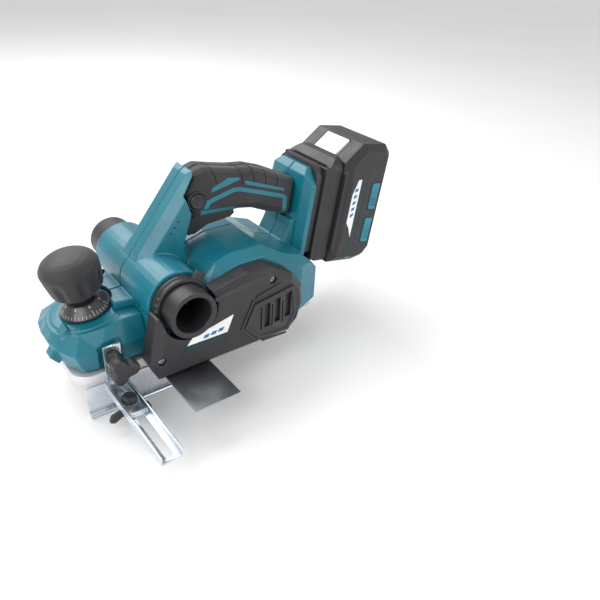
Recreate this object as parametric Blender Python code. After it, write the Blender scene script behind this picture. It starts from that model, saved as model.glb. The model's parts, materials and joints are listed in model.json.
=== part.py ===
"""Cordless electric hand planer, one object per piece.

Frame: -X is the planing direction (depth knob), +X the battery end, -Y the belt side, +Z up.
The sole of the rear shoe lies in the plane z = 0. Sizes are in millimetres and are turned
into metres where a mesh is made.
"""
from math import atan2, cos, hypot, pi, radians, sin, tan

import bmesh
import bpy
from mathutils import Matrix, Vector

MM = 0.001
GAP = 0.3
HALF_GAP = 0.15
WELD = 2e-6
OVER = 1.0          # how far a cutter stands past the face it opens

# Sole and frame
SOLE_HALF = 42.5
SOLE_THICK = 7.0
SHOE_THICK = 9.0
SOLE_REAR = 84.0
SOLE_MOUTH = -50.0
SOLE_CORNER = 10.0
SHOE_MOUTH = -68.0
SHOE_CORNER = 13.0
EAR_FLOOR = 3.2
EAR_SPAN = (-37.0, -33.0)
SHOE_FRONT = -142.0
WALL_IN = 43.0
EAR_IN = 38.5
WALL_LEFT_OUT = 49.0
WALL_RIGHT_OUT = 47.0

SOLE_RAMP = [(-51, -1), (-50.4, -1), (-38.5, SOLE_THICK + 1), (-51, SOLE_THICK + 1)]
SHOE_RAMP = [(-67, -1), (-80, SHOE_THICK), (-80, SHOE_THICK + 1), (-60, SHOE_THICK + 1), (-60, -1)]
SHOE_GROOVE = [(-2.5, -1), (2.5, -1), (0, 2.5)]
DRUM_ARCH = [(-33, EAR_FLOOR), (-33, 28), (-42, 38), (-74, 38), (-80, 32), (-80, 12), (-70, EAR_FLOOR)]

# Cutter drum
DRUM_X = -58.0
DRUM_Z = 22.0
DRUM_R = 20.0
CUT_R = 21.7
DRUM_HALF = 41.0
DRUM_HUB_R = 9.0
DRUM_STEP = 1.0
SHAFT_END = -66.8
SHAFT_R = 5.0
BEARING_R = 13.0

# Motor
MOTOR_X = 14.0
MOTOR_Z = 43.0
STATOR_R = 30.0
STATOR_BORE = 18.0
MOTOR_SHAFT_R = 4.0
MOTOR_ROOM_R = 32.0
FAN_ROOM_R = 28.0
FAN_ROOM_END = -49.5
MOTOR_BEARING_R = 11.0
STATOR_SPAN = (-28.0, 26.0)
ROTOR_SPAN = (-26.0, 24.0)
AIR_GAP = 1.0
MOTOR_SHAFT_END = 36.0
FAN_R = 26.0
FAN_HUB_R = 9.0
FAN_SPAN = (-42.0, -40.5, -34.0)
FAN_VANES = 9
VANE = [(8, -0.7), (25, -0.7), (25, 0.7), (8, 0.7)]

# Belt drive
BELT_IN = -60.4
BELT_OUT = -66.5
DRUM_PULLEY_R = 9.5
MOTOR_PULLEY_R = 12.5
BELT_THICK = 2.2
BELT_STEPS = 18
BELT_MARGIN = 1.2
RIM_HIGH = 1.0
RIM_WIDE = 0.8
COVER_BACK = -53.3
COVER_EDGE = -67.0
COVER_FACE = -72.5
COVER_WALL = 3.0
COVER_INSET = 6.0

# Housing
BODY_LEFT = -53.0
BODY_RIGHT = 47.3
COLUMN_HALF = 19.0
RIDGE_Y = 10.0
FLANGE_HALF = 30.0
BODY_FLOOR = 7.3

# Cross duct
DUCT_X = -60.0
DUCT_Z = 57.0
BOSS_R = 24.5
DUCT_R = 18.5
BOSS_END = 50.0
RING_END = 60.0
RING_R = 22.0
NOZZLE_R = 19.0
NOZZLE_BORE = 14.5
NOZZLE_END = 76.5
PLUG_END = 78.0
SPIGOT_END = 44.5
TAB_BOX = ((-4, -59, RING_R - 1.5), (4.5, -54.2, RING_R + 7))
TAB_TURN = radians(36.0)

# Depth knob, leaning forward
KNOB_LEAN = radians(12.0)
KNOB_X = -114.0
KNOB_Z = 43.0
DIAL_R = 20.0
DIAL_HIGH = 9.0
DIAL_EDGE = 1.2
NECK_R = 8.5
HEAD_R = 22.5
HEAD_BASE = 17.0
HEAD_TOP = 49.0
SCREW_R = 4.0
SCREW_END = -31.0
THREAD_END = -35.0
BOSS_TOP = -19.5
SCREW_BOSS_R = 9.5
SCREW_BOSS_END = -40.0
SCREW_COLLAR_R = 6.2
SCREW_COLLAR = (-13.0, -2.2)
SCREW_TOP = HEAD_BASE + 5.5

# Handle grip
GRIP_HALF = 16.0
GRIP_WALL = 4.5
LOCK_X = -22.0
LOCK_Z = 117.0
LOCK_R = 6.3
TRIGGER_X = -24.0
TRIGGER_Z = 100.0

# Battery, leaning back: w runs to the rear and u runs up along the pack
PACK_LEAN = radians(8.5)
PACK_X = 78.0
PACK_Z = 45.0
PACK_HALF = 37.5
PACK_REAR = 79.5
PACK_SPLIT = 27.0
RAIL_HALF = 31.0

# Fence
ARM_X = -113.5
ARM_HALF = 8.7
ARM_FLOOR = -6.2
ARM_TOP = -0.6
ARM_END = -137.0
FENCE_FACE = -41.5
FENCE_LEFT = -137.0
FENCE_RIGHT = -52.0
FENCE_BOTTOM = -28.0
FENCE_BOLT_Y = -68.0
WING_BOLT_Z = 22.0
POCKET_BACK = -38.6
LEAF_BACK = -42.6
LEAF_THICK = 2.2
LEAF_TOP = 32.0
ARM_SHEET = 1.3
SLOT_R = 3.4
SLOT_ENDS = (-131.0, -56.0)
WING_BOLT_R = 7.0
WING_BOLT_LOBE = 5.5
WING_BOLT_HEAD = (-68.0, -58.0)
SHANK_R = 3.0
NUT_HIGH = 8.0
NUT_R = 7.0
WING_HALF = 1.8
PLATE_BOX = ((-82, -113, 0.9), (-43, -44, 2.4))
POCKET_TOP = 33.5

# Points round a circle
SEGMENTS = 32
FINE = 48
COARSE = 28
HOLE = 24
SMALL_HOLE = 20
CORNER_STEPS = 6
NOSE_STEPS = 7

TEAL = ("teal_housing", (0.012, 0.235, 0.285, 1), 0.38, 0.0)
TEAL_RUBBER = ("teal_rubber", (0.03, 0.25, 0.30, 1), 0.6, 0.0)
BLACK = ("black_plastic", (0.035, 0.033, 0.037, 1), 0.5, 0.0)
RUBBER = ("black_rubber", (0.03, 0.028, 0.03, 1), 0.75, 0.0)
WHITE = ("white_plastic", (0.8, 0.8, 0.8, 1), 0.4, 0.0)
ALUMINIUM = ("aluminium", (0.7, 0.7, 0.72, 1), 0.35, 1.0)
STEEL = ("brushed_steel", (0.5, 0.52, 0.55, 1), 0.25, 1.0)
ZINC = ("zinc_plate", (0.72, 0.74, 0.76, 1), 0.2, 1.0)
CELL = ("cell_sleeve", (0.25, 0.35, 0.5, 1), 0.4, 0.3)
COPPER = ("motor_windings", (0.5, 0.22, 0.1, 1), 0.4, 1.0)


# ---------------------------------------------------------------- tools

def clear_scene():
    for item in list(bpy.data.objects):
        bpy.data.objects.remove(item, do_unlink=True)


def material(spec):
    name, colour, roughness, metallic = spec
    found = bpy.data.materials.get(name)
    if found:
        return found
    made = bpy.data.materials.new(name)
    made.use_nodes = True
    shader = made.node_tree.nodes["Principled BSDF"]
    shader.inputs["Base Color"].default_value = colour
    shader.inputs["Roughness"].default_value = roughness
    shader.inputs["Metallic"].default_value = metallic
    return made


def add_object(name, mesh_builder):
    mesh_builder.normal_update()
    bmesh.ops.recalc_face_normals(mesh_builder, faces=mesh_builder.faces)
    mesh = bpy.data.meshes.new(name)
    mesh_builder.to_mesh(mesh)
    mesh_builder.free()
    made = bpy.data.objects.new(name, mesh)
    bpy.context.scene.collection.objects.link(made)
    return made


def loft(name, rings):
    """A closed solid through rings of points that all have the same count."""
    builder = bmesh.new()
    rows = []
    for ring in rings:
        rows.append([builder.verts.new(Vector(point) * MM) for point in ring])
    count = len(rows[0])
    for low, high in zip(rows, rows[1:]):
        for index in range(count):
            after = (index + 1) % count
            builder.faces.new((low[index], low[after], high[after], high[index]))
    builder.faces.new(rows[0][::-1])
    builder.faces.new(rows[-1])
    return add_object(name, builder)


def side_prism(name, outline, y_low, y_high):
    """An XZ outline run along Y."""
    rings = [[(x, y, z) for x, z in outline] for y in (y_low, y_high)]
    return loft(name, rings)


def plan_prism(name, outline, z_low, z_high):
    """An XY outline run along Z."""
    rings = [[(x, y, z) for x, y in outline] for z in (z_low, z_high)]
    return loft(name, rings)


def front_prism(name, outline, x_low, x_high):
    """A YZ outline run along X."""
    rings = [[(x, y, z) for y, z in outline] for x in (x_low, x_high)]
    return loft(name, rings)


def box(name, low, high):
    outline = [(low[0], low[1]), (high[0], low[1]), (high[0], high[1]), (low[0], high[1])]
    return plan_prism(name, outline, low[2], high[2])


def circle(centre, radius, count=SEGMENTS, start=0.0, sweep=2 * pi):
    """Points round a circle; an open arc keeps both of its ends."""
    steps = count if sweep >= 2 * pi else count - 1
    return [(centre[0] + radius * cos(start + sweep * index / steps),
             centre[1] + radius * sin(start + sweep * index / steps)) for index in range(count)]


def inset(outline, distance):
    """The outline moved inwards by a distance, corner by corner."""
    area = sum(a[0] * b[1] - b[0] * a[1] for a, b in zip(outline, outline[1:] + outline[:1]))
    turn = 1.0 if area > 0 else -1.0
    moved = []
    for index, point in enumerate(outline):
        before = Vector(outline[index - 1])
        here = Vector(point)
        after = Vector(outline[(index + 1) % len(outline)])
        first = (here - before).normalized()
        second = (after - here).normalized()
        normal_first = Vector((-first.y, first.x)) * turn
        normal_second = Vector((-second.y, second.x)) * turn
        middle = normal_first + normal_second
        moved.append(tuple(here + middle * (distance / (1.0 + normal_first.dot(normal_second)))))
    return moved


def turned(name, profile, segments=SEGMENTS, place=None):
    """A closed (radius, height) profile spun round Z, then placed by a matrix in millimetres."""
    place = place or Matrix.Identity(4)
    builder = bmesh.new()
    columns = []
    for radius, height in profile:
        if radius == 0:
            columns.append([builder.verts.new(place @ Vector((0, 0, height)) * MM)])
            continue
        ring = []
        for index in range(segments):
            angle = 2 * pi * index / segments
            point = Vector((radius * cos(angle), radius * sin(angle), height))
            ring.append(builder.verts.new(place @ point * MM))
        columns.append(ring)
    pairs = list(zip(columns, columns[1:] + columns[:1]))
    for low, high in pairs:
        if len(low) == 1 and len(high) == 1:
            continue
        for index in range(segments):
            after = (index + 1) % segments
            if len(low) == 1:
                builder.faces.new((low[0], high[after], high[index]))
            elif len(high) == 1:
                builder.faces.new((low[index], low[after], high[0]))
            else:
                builder.faces.new((low[index], low[after], high[after], high[index]))
    return add_object(name, builder)


def along_y(x, z, start=0.0, direction=1.0):
    """Places a turned profile with its axis along +Y or -Y, at height zero on y = start."""
    turn = Matrix.Rotation(-direction * pi / 2, 4, "X")
    return Matrix.Translation((x, start, z)) @ turn


def upright(x, y, z=0.0):
    return Matrix.Translation((x, y, z))


def knob_place():
    """Height zero is the dial's lower rim, and +Z runs up the leaning knob."""
    return Matrix.Translation((KNOB_X, 0, KNOB_Z)) @ Matrix.Rotation(-KNOB_LEAN, 4, "Y")


def pack_point(w, y, u):
    x = PACK_X + w * cos(PACK_LEAN) + u * sin(PACK_LEAN)
    z = PACK_Z - w * sin(PACK_LEAN) + u * cos(PACK_LEAN)
    return (x, y, z)


def pack_side_prism(name, outline, y_low, y_high):
    """A (w, u) outline in the pack's own frame, run along Y."""
    rings = [[pack_point(w, y, u) for w, u in outline] for y in (y_low, y_high)]
    return loft(name, rings)


def pack_loft(name, layers):
    """Layers of (y, outline), each outline in (w, u)."""
    return loft(name, [[pack_point(w, y, u) for w, u in outline] for y, outline in layers])


def pack_box(name, low, high):
    outline = [(low[0], low[2]), (high[0], low[2]), (high[0], high[2]), (low[0], high[2])]
    return pack_side_prism(name, outline, low[1], high[1])


def pack_section(name, outline, u_low, u_high):
    """A (w, y) section run along the pack."""
    return loft(name, [[pack_point(w, y, u) for w, y in outline] for u in (u_low, u_high)])


def solid_operation(target, tool, operation):
    modifier = target.modifiers.new(operation.lower(), "BOOLEAN")
    modifier.operation = operation
    modifier.solver = "EXACT"
    modifier.object = tool
    bpy.context.view_layer.update()
    evaluated = target.evaluated_get(bpy.context.evaluated_depsgraph_get())
    mesh = bpy.data.meshes.new_from_object(evaluated)
    target.modifiers.clear()
    builder = bmesh.new()
    builder.from_mesh(mesh)
    bmesh.ops.remove_doubles(builder, verts=builder.verts, dist=WELD)
    bmesh.ops.dissolve_degenerate(builder, edges=builder.edges, dist=WELD)
    builder.to_mesh(mesh)
    builder.free()
    target.data = mesh
    bpy.data.objects.remove(tool, do_unlink=True)
    return target


def join(target, *tools):
    for tool in tools:
        solid_operation(target, tool, "UNION")
    return target


def cut(target, *tools):
    for tool in tools:
        solid_operation(target, tool, "DIFFERENCE")
    return target


def bore(name, x, z, radius, y_low, y_high, segments=SEGMENTS):
    return side_prism(name, circle((x, z), radius, segments), y_low, y_high)


def finish(target, spec, pivot=None, sharp=35.0):
    """Gives the piece its material, smooth round faces and, if it moves, its origin."""
    target.data.materials.clear()
    target.data.materials.append(material(spec))
    target.data.shade_smooth()
    target.data.set_sharp_from_angle(angle=radians(sharp))
    if pivot is not None:
        shift = Vector(pivot) * MM
        target.data.transform(Matrix.Translation(-shift))
        target.location = shift
    return target


# ---------------------------------------------------------------- sole and shoe

def make_rear_sole():
    corner_x = SOLE_REAR - SOLE_CORNER
    corner_y = SOLE_HALF - SOLE_CORNER
    plan = [(SOLE_MOUTH, -SOLE_HALF), (corner_x, -SOLE_HALF)]
    plan += circle((corner_x, -corner_y), SOLE_CORNER, CORNER_STEPS, -pi / 2, pi / 2)[1:]
    plan += circle((corner_x, corner_y), SOLE_CORNER, CORNER_STEPS, 0, pi / 2)
    plan += [(SOLE_MOUTH, SOLE_HALF)]
    sole = plan_prism("rear_sole", plan, 0, SOLE_THICK)
    cut(sole, side_prism("ramp", SOLE_RAMP, -SOLE_HALF - OVER, SOLE_HALF + OVER))
    for inner, outer in ((-WALL_IN, -WALL_LEFT_OUT), (WALL_IN, WALL_RIGHT_OUT)):
        wall = side_prism("wall", DRUM_ARCH, min(inner, outer), max(inner, outer))
        ear_in = EAR_IN * (1 if inner > 0 else -1)
        ear = box("ear", (EAR_SPAN[0], min(ear_in, outer), EAR_FLOOR),
                  (EAR_SPAN[1], max(ear_in, outer), SOLE_THICK))
        join(sole, ear, wall)
    seats = bore("bearing_seats", DRUM_X, DRUM_Z, BEARING_R + GAP,
                 -WALL_LEFT_OUT - OVER, WALL_RIGHT_OUT + OVER)
    cut(sole, seats)
    return finish(sole, ALUMINIUM)


def make_front_shoe():
    nose_x = SHOE_FRONT + SHOE_CORNER
    nose_y = SOLE_HALF - SHOE_CORNER
    plan = [(SHOE_MOUTH, -SOLE_HALF)]
    plan += circle((nose_x, -nose_y), SHOE_CORNER, NOSE_STEPS, -pi / 2, -pi / 2)
    plan += circle((nose_x, nose_y), SHOE_CORNER, NOSE_STEPS, pi, -pi / 2)
    plan += [(SHOE_MOUTH, SOLE_HALF)]
    shoe = plan_prism("front_shoe", plan, 0, SHOE_THICK)
    cut(shoe, side_prism("ramp", SHOE_RAMP, -SOLE_HALF - OVER, SOLE_HALF + OVER))
    cut(shoe, front_prism("edge_groove", SHOE_GROOVE, SHOE_FRONT - OVER, SHOE_RAMP[-1][0]))
    column = [(0, SCREW_BOSS_END), (SCREW_BOSS_R, SCREW_BOSS_END), (SCREW_BOSS_R, BOSS_TOP), (0, BOSS_TOP)]
    boss = turned("screw_boss", column, COARSE, knob_place())
    # the leaning boss ends inside the shoe, so that it does not show below
    trim = box("trim", (-130, -20, -30), (-85, 20, SHOE_THICK - 2))
    cut(boss, trim)
    join(shoe, boss)
    hole_top = BOSS_TOP + 9.5
    hole = [(0, THREAD_END), (SCREW_R + GAP, THREAD_END), (SCREW_R + GAP, hole_top), (0, hole_top)]
    cut(shoe, turned("thread", hole, HOLE, knob_place()))
    return finish(shoe, ALUMINIUM, (KNOB_X, 0, KNOB_Z))


# ---------------------------------------------------------------- housing

BODY_CHAMFER = 8.0
DRUM_ROOM = (-81, -32)
DRUM_ROOM_TOP = 44.5
DECK = (45, 52)
COLUMN = [(-80, 48), (-80, 64), (-73, 80), (-27.5, 138), (-20, 142.5), (-13.5, 141), (-23, 138),
          (-33, 123), (-28, 108), (-37, 80), (-30, 60)]
COLUMN_FRONT = ((-106, 38), (-8, 162.5))
COLUMN_SLOPE = 7.3
COLUMN_CLEAR = 6.0
COLUMN_HOLLOW = [(-66, 82), (-34, 122), (-40, 108), (-46, 84)]
COLUMN_WALL = 6.5
POST = [(68.6, 80.4), (67.5, 73), (61, 61), (40, 60), (60, 40), (77.6, 45), (82, 80)]
FLANGE = [(-10, -2), (-10, 75), (-5, 81), (0, 81), (0, -2)]
FLANGE_FLAT = 22.0
BARREL_SLOPE = [(26, 90), (60, 50), (60, 90)]
WIRE_WAY = [(40, 58), (40, 54), (58, 50), (74, 56), (80, 96), (76, 96), (72, 64), (66, 58)]
WIRE_HALF = 10.0
MOTOR_REACH = {-1: -43.0, 1: 40.0}
CHUTE = (-70, -50, 40)
CHUTE_HALF = 38.0
DIAL_ROOM_R = DIAL_R + 1.2
BODY_OUTLINE = [(-83, 12), (-83, 44), (-78, 52), (-38, 62), (-24, 76), (-8, 81), (20, 81),
                (44, 66), (62, 60), (72, 52), (SOLE_REAR - 1, 40), (SOLE_REAR - 1, BODY_FLOOR),
                (-30, BODY_FLOOR), (-30, 12)]
BODY_OUTER = [(-83, 12), (-83, 36), (-75, 43.5), (-37, 56), (-21, 69), (-6, 74), (17, 74),
              (40, 60), (57, 53), (66, 47), (76, 37), (76, BODY_FLOOR), (-30, BODY_FLOOR), (-30, 12)]


def drum_room(name):
    return box(name, (DRUM_ROOM[0], -WALL_LEFT_OUT - GAP, -OVER),
               (DRUM_ROOM[1], WALL_RIGHT_OUT + GAP, DRUM_ROOM_TOP))


def column_chamfer(side):
    """Wedge that slopes the column's front face away from a ridge beside the middle."""
    rings = []
    foot, head = COLUMN_FRONT
    along = Vector((head[0] - foot[0], head[1] - foot[1])).normalized()
    inward = Vector((along.y, -along.x))
    outer = COLUMN_HALF + OVER
    corners = ((RIDGE_Y, 0), (outer, COLUMN_SLOPE), (outer, -COLUMN_CLEAR), (RIDGE_Y, -COLUMN_CLEAR))
    for x, z in COLUMN_FRONT:
        ring = []
        for y, depth in corners:
            ring.append((x + inward.x * depth, y * side, z + inward.y * depth))
        rings.append(ring)
    return loft("column_chamfer", rings)


def make_housing(side):
    """One half of the clamshell: side is -1 for the left half and +1 for the right."""
    name = "left_housing" if side < 0 else "right_housing"
    centre = HALF_GAP * side
    out = BODY_LEFT if side < 0 else BODY_RIGHT

    def half(tool_name, outline, reach):
        return side_prism(tool_name, outline, min(centre, reach), max(centre, reach))

    edge = out - BODY_CHAMFER * side
    shell = loft(name, [[(x, y, z) for x, z in outline] for y, outline in
                        ((centre, BODY_OUTLINE), (edge, BODY_OUTLINE), (out, BODY_OUTER))])
    # the barrel's upper corner falls away towards the outside
    if side > 0:
        cut(shell, front_prism("slope", BARREL_SLOPE, -90, 90))
    beyond = out + 6 * side
    corner = [(58, beyond), (58, out), (90, 40 * side), (90, beyond)]
    cut(shell, plan_prism("rear_corner", corner, -OVER, 90))
    deck_plan = [(-99, centre), (-99, 20 * side), (-76, 24 * side), (-76, centre)]
    deck = plan_prism("deck", deck_plan, DECK[0], DECK[1])
    pillar = half("column", COLUMN, COLUMN_HALF * side)
    cut(pillar, column_chamfer(side))
    join(shell, deck, pillar, half("post", POST, COLUMN_HALF * side))
    thin = [(w * 0.5, u) for w, u in FLANGE]
    layers = [(centre, FLANGE), (FLANGE_FLAT * side, FLANGE), (FLANGE_HALF * side, thin)]
    join(shell, pack_loft("flange", layers))
    boss_span = (centre, BOSS_END * side)
    join(shell, bore("boss", DUCT_X, DUCT_Z, BOSS_R, min(boss_span), max(boss_span)))

    # inside: drum room, motor room, duct, column and post hollows
    motor = sorted((0, MOTOR_REACH[side]))
    motor_room = bore("motor_room", MOTOR_X, MOTOR_Z, MOTOR_ROOM_R, motor[0], motor[1])
    through = sorted((0, (BOSS_END + OVER) * side))
    duct = bore("duct", DUCT_X, DUCT_Z, DUCT_R, through[0], through[1])
    across = sorted((-OVER * side, CHUTE_HALF * side))
    chute = box("chute", (CHUTE[0], across[0], CHUTE[2]), (CHUTE[1], across[1], DUCT_Z))
    cut(shell, drum_room("drum_room"), motor_room, duct, chute)
    dial_room = [(0, -3), (DIAL_ROOM_R, -3), (DIAL_ROOM_R, 30), (0, 30)]
    cut(shell, turned("dial_room", dial_room, FINE, knob_place()))
    hollow = sorted((0, (COLUMN_HALF - COLUMN_WALL) * side))
    cut(shell, side_prism("column_hollow", COLUMN_HOLLOW, hollow[0], hollow[1]))
    way = sorted((0, WIRE_HALF * side))
    cut(shell, side_prism("wire_way", WIRE_WAY, way[0], way[1]))

    if side < 0:
        outside = BODY_LEFT - OVER
        inside = -40
        cut(shell, bore("bearing_seat", MOTOR_X, MOTOR_Z, MOTOR_BEARING_R + GAP, outside, inside))
        cut(shell, bore("fan_room", MOTOR_X, MOTOR_Z, FAN_ROOM_R, FAN_ROOM_END, inside))
        cut(shell, bore("shaft_way", DRUM_X, DRUM_Z, BEARING_R + GAP, outside, inside))
        cut(shell, bore("ring_room", DUCT_X, DUCT_Z, RING_R + 0.5, outside, -BOSS_END))
        cut(shell, box("plate_slot", (-84, outside, -OVER), (-41, inside, 3)))
    return finish(shell, TEAL)


NOSE_REAR = -83.4
NOSE_FOOT = [(NOSE_REAR, 40.0), (-118, 41.5), (-134, 38), (-142, 24), (-143.5, 8)]
NOSE_WAIST = [(NOSE_REAR, 41.0), (-120, 42.5), (-139, 38), (-147, 22), (-149, 8)]
NOSE_TOP = [(NOSE_REAR, 33.0), (-112, 33), (-131, 27), (-142, 15), (-144.5, 6)]
NOSE_FOOT_Z = 11.6
NOSE_WAIST_Z = 27.0
NOSE_ROOM = [(-90, -30), (-128, -32), (-136, -20), (-136, 20), (-128, 32), (-90, 32)]
NOSE_RIM = [(0, -14), (28, -14), (28, -1.0), (24, -0.6), (0, -0.6)]
SCREW_WAY_R = 7.0
BOLT_HOLE_R = 3.3


def make_knob_housing():
    def top_height(x):
        return KNOB_Z - 2.0 + (x - KNOB_X) * tan(KNOB_LEAN)

    rear = NOSE_REAR
    rings = []
    for points, heights in ((NOSE_FOOT, NOSE_FOOT_Z), (NOSE_WAIST, NOSE_WAIST_Z), (NOSE_TOP, None)):
        ring = [(x, -y) for x, y in points] + [(x, y) for x, y in points[::-1]]
        rings.append([(x, y, heights or top_height(x)) for x, y in ring])
    housing = loft("knob_housing", rings)
    rim = turned("rim", NOSE_RIM, FINE, knob_place())
    rear_trim = box("rear_trim", (rear - 0.5, -60, 0), (-60, 60, 90))
    cut(rim, rear_trim)
    join(housing, rim)
    cut(housing, box("deck_room", (-99.4, -60, 44.7), (-60, 60, 70)))
    dish = turned("dish", [(0, -1.4), (DIAL_R + 0.8, -1.4), (DIAL_R + 2.5, 8), (0, 8)], FINE, knob_place())
    cut(housing, dish)
    cut(housing, plan_prism("room", NOSE_ROOM, 5, 29))
    way = [(0, SCREW_BOSS_END), (SCREW_WAY_R, SCREW_BOSS_END), (SCREW_WAY_R, 5), (0, 5)]
    cut(housing, turned("screw_way", way, COARSE, knob_place()))
    half = ARM_HALF + 2 * GAP
    pocket = box("bracket_pocket", (ARM_X - half, -50, 5), (ARM_X + half, POCKET_BACK, POCKET_TOP))
    cut(housing, pocket)
    cut(housing, bore("wing_bolt_way", ARM_X, WING_BOLT_Z, BOLT_HOLE_R, -45, -20, SMALL_HOLE))
    return finish(housing, TEAL)


SIDE_COVER = [(-83, 14), (-83, 40), (-74, 52), (-44, 52), (-30, 40), (-30, 12), (-40, 5.2), (-72, 5.2)]
SIDE_COVER_EDGE = 2.0
SIDE_COVER_THICK = 3.5


def make_drum_side_cover():
    outline = SIDE_COVER
    inner = WALL_RIGHT_OUT + 2 * GAP
    cover = loft("drum_side_cover", [[(x, inner, z) for x, z in outline],
                                     [(x, inner + SIDE_COVER_EDGE, z) for x, z in outline],
                                     [(x, inner + SIDE_COVER_THICK, z) for x, z in inset(outline, 2.0)]])
    cut(cover, bore("boss_room", DUCT_X, DUCT_Z, BOSS_R + 0.5, inner - OVER, inner + 5))
    return finish(cover, BLACK)


# ---------------------------------------------------------------- handle

GRIP_OUTLINE = [(-12.4, 140.6), (2, 137.3), (18, 134), (34, 132.3), (50, 127), (64, 120.5), (77.8, 114.6),
                (72.6, 81.0), (50, 89), (34, 96), (20, 98.5), (-27.4, 98.5),
                (-27.4, 108), (-32.4, 123), (-22.4, 137.5)]
GRIP_FLAT = 8.0
GRIP_SHOULDER = 13.0
SHOULDER_INSET = 2.5
SIDE_INSET = 7.0
GRIP_ROOM_HALF = 10.5
TRIGGER_HALF = 8.0
TRIGGER_SLOT = ((-30, 85), (19, 106))
TRIGGER_OUTLINE = [(-26.8, 84.5), (-27, 103), (-18, 105), (16, 103), (17.5, 95), (14, 92.4),
                   (-9, 90.4), (-20, 85)]
LOCK_BACK = -7.0
LOCK_FACE = -18.7
SWITCH_BOX = ((-10, -9, 109), (24, 9, 126))


def make_grip(side):
    name = "grip_left" if side < 0 else "grip_right"
    layers = [(HALF_GAP * side, GRIP_OUTLINE), (GRIP_FLAT * side, GRIP_OUTLINE),
              (GRIP_SHOULDER * side, inset(GRIP_OUTLINE, SHOULDER_INSET)),
              (GRIP_HALF * side, inset(GRIP_OUTLINE, SIDE_INSET))]
    grip = loft(name, [[(x, y, z) for x, z in outline] for y, outline in layers])
    room = inset(GRIP_OUTLINE, GRIP_WALL)
    room_span = sorted((0, GRIP_ROOM_HALF * side))
    cut(grip, side_prism("room", room, room_span[0], room_span[1]))
    (front, floor), (rear, top) = TRIGGER_SLOT
    slot_span = sorted((0, (TRIGGER_HALF + 0.4) * side))
    cut(grip, box("trigger_slot", (front, slot_span[0], floor), (rear, slot_span[1], top)))
    if side < 0:
        cut(grip, bore("button_hole", LOCK_X, LOCK_Z, LOCK_R + GAP, -20, -3, COARSE))
    return finish(grip, RUBBER)


def make_trigger():
    trigger = side_prism("trigger", TRIGGER_OUTLINE, -TRIGGER_HALF, TRIGGER_HALF)
    return finish(trigger, BLACK, (TRIGGER_X, 0, TRIGGER_Z))


def make_lock_off_button():
    edge = 1.2
    profile = [(0, LOCK_BACK), (LOCK_R, LOCK_BACK), (LOCK_R, LOCK_FACE + edge), (LOCK_R - edge, LOCK_FACE),
               (0, LOCK_FACE)]
    button = turned("lock_off_button", profile, COARSE, along_y(LOCK_X, LOCK_Z))
    return finish(button, BLACK, (LOCK_X, -12, LOCK_Z))


def make_switch_body():
    body = box("switch_body", SWITCH_BOX[0], SWITCH_BOX[1])
    return finish(body, BLACK)


# ---------------------------------------------------------------- cutter drum

def drum_axis(y):
    return (DRUM_X, y, DRUM_Z)


BLADE_SLOT = [(11, -6), (24, -6), (24, 5.4), (11, 5.4)]
BLADE = [(12, 3.6), (CUT_R - 0.6, 3.6), (CUT_R - 0.4, 4.8), (12, 5.0)]
BLADE_CLAMP = [(11.4, -5.6), (18.6, -5.6), (19.4, 0), (19.2, 3.2), (11.4, 3.2)]


def make_cutter_drum():
    hub = DRUM_HALF + DRUM_STEP
    profile = [(0, SHAFT_END), (SHAFT_R, SHAFT_END), (SHAFT_R, -hub), (DRUM_HUB_R, -hub),
               (DRUM_HUB_R, -DRUM_HALF), (DRUM_R, -DRUM_HALF), (DRUM_R, DRUM_HALF), (DRUM_HUB_R, DRUM_HALF),
               (DRUM_HUB_R, hub), (SHAFT_R, hub), (SHAFT_R, WALL_RIGHT_OUT), (0, WALL_RIGHT_OUT)]
    drum = turned("cutter_drum", profile, FINE, along_y(DRUM_X, DRUM_Z))
    for turn in (0, pi):
        slot = side_prism("slot", turned_about_drum(BLADE_SLOT, turn), -DRUM_HALF - 0.5, DRUM_HALF + 0.5)
        cut(drum, slot)
    return finish(drum, STEEL, drum_axis(0))


def turned_about_drum(points, turn):
    """(radial, tangential) points about the drum's axis, as XZ points."""
    placed = []
    for radial, across in points:
        x = radial * cos(turn) - across * sin(turn)
        z = radial * sin(turn) + across * cos(turn)
        placed.append((DRUM_X + x, DRUM_Z + z))
    return placed


def make_blade(number):
    turn = pi * (number - 1)
    blade = side_prism(f"blade_{number}", turned_about_drum(BLADE, turn), -DRUM_HALF, DRUM_HALF)
    return finish(blade, STEEL, drum_axis(0))


def make_blade_clamp(number):
    turn = pi * (number - 1)
    placed = turned_about_drum(BLADE_CLAMP, turn)
    clamp = side_prism(f"blade_clamp_{number}", placed, -DRUM_HALF, DRUM_HALF)
    return finish(clamp, ALUMINIUM, drum_axis(0))


DRUM_BEARINGS = {"drum_bearing_left": (-48.5, -43.5), "drum_bearing_right": (42.5, 46.5)}
MOTOR_BEARINGS = {"motor_bearing_left": (-52.0, -45.0), "motor_bearing_right": (29.0, 35.0)}


def make_bearing(name, x, z, outer, inner, y_low, y_high):
    profile = [(outer, y_low), (outer, y_high), (inner, y_high), (inner, y_low)]
    return finish(turned(name, profile, SEGMENTS, along_y(x, z)), STEEL)


def make_pulley(name, x, z, radius, hole):
    rim = radius + RIM_HIGH
    profile = [(hole, BELT_OUT), (rim, BELT_OUT), (rim, BELT_OUT + RIM_WIDE), (radius, BELT_OUT + RIM_WIDE),
               (radius, BELT_IN - RIM_WIDE), (rim, BELT_IN - RIM_WIDE), (rim, BELT_IN), (hole, BELT_IN)]
    pulley = turned(name, profile, SEGMENTS, along_y(x, z))
    return finish(pulley, ALUMINIUM, (x, 0, z))


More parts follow.
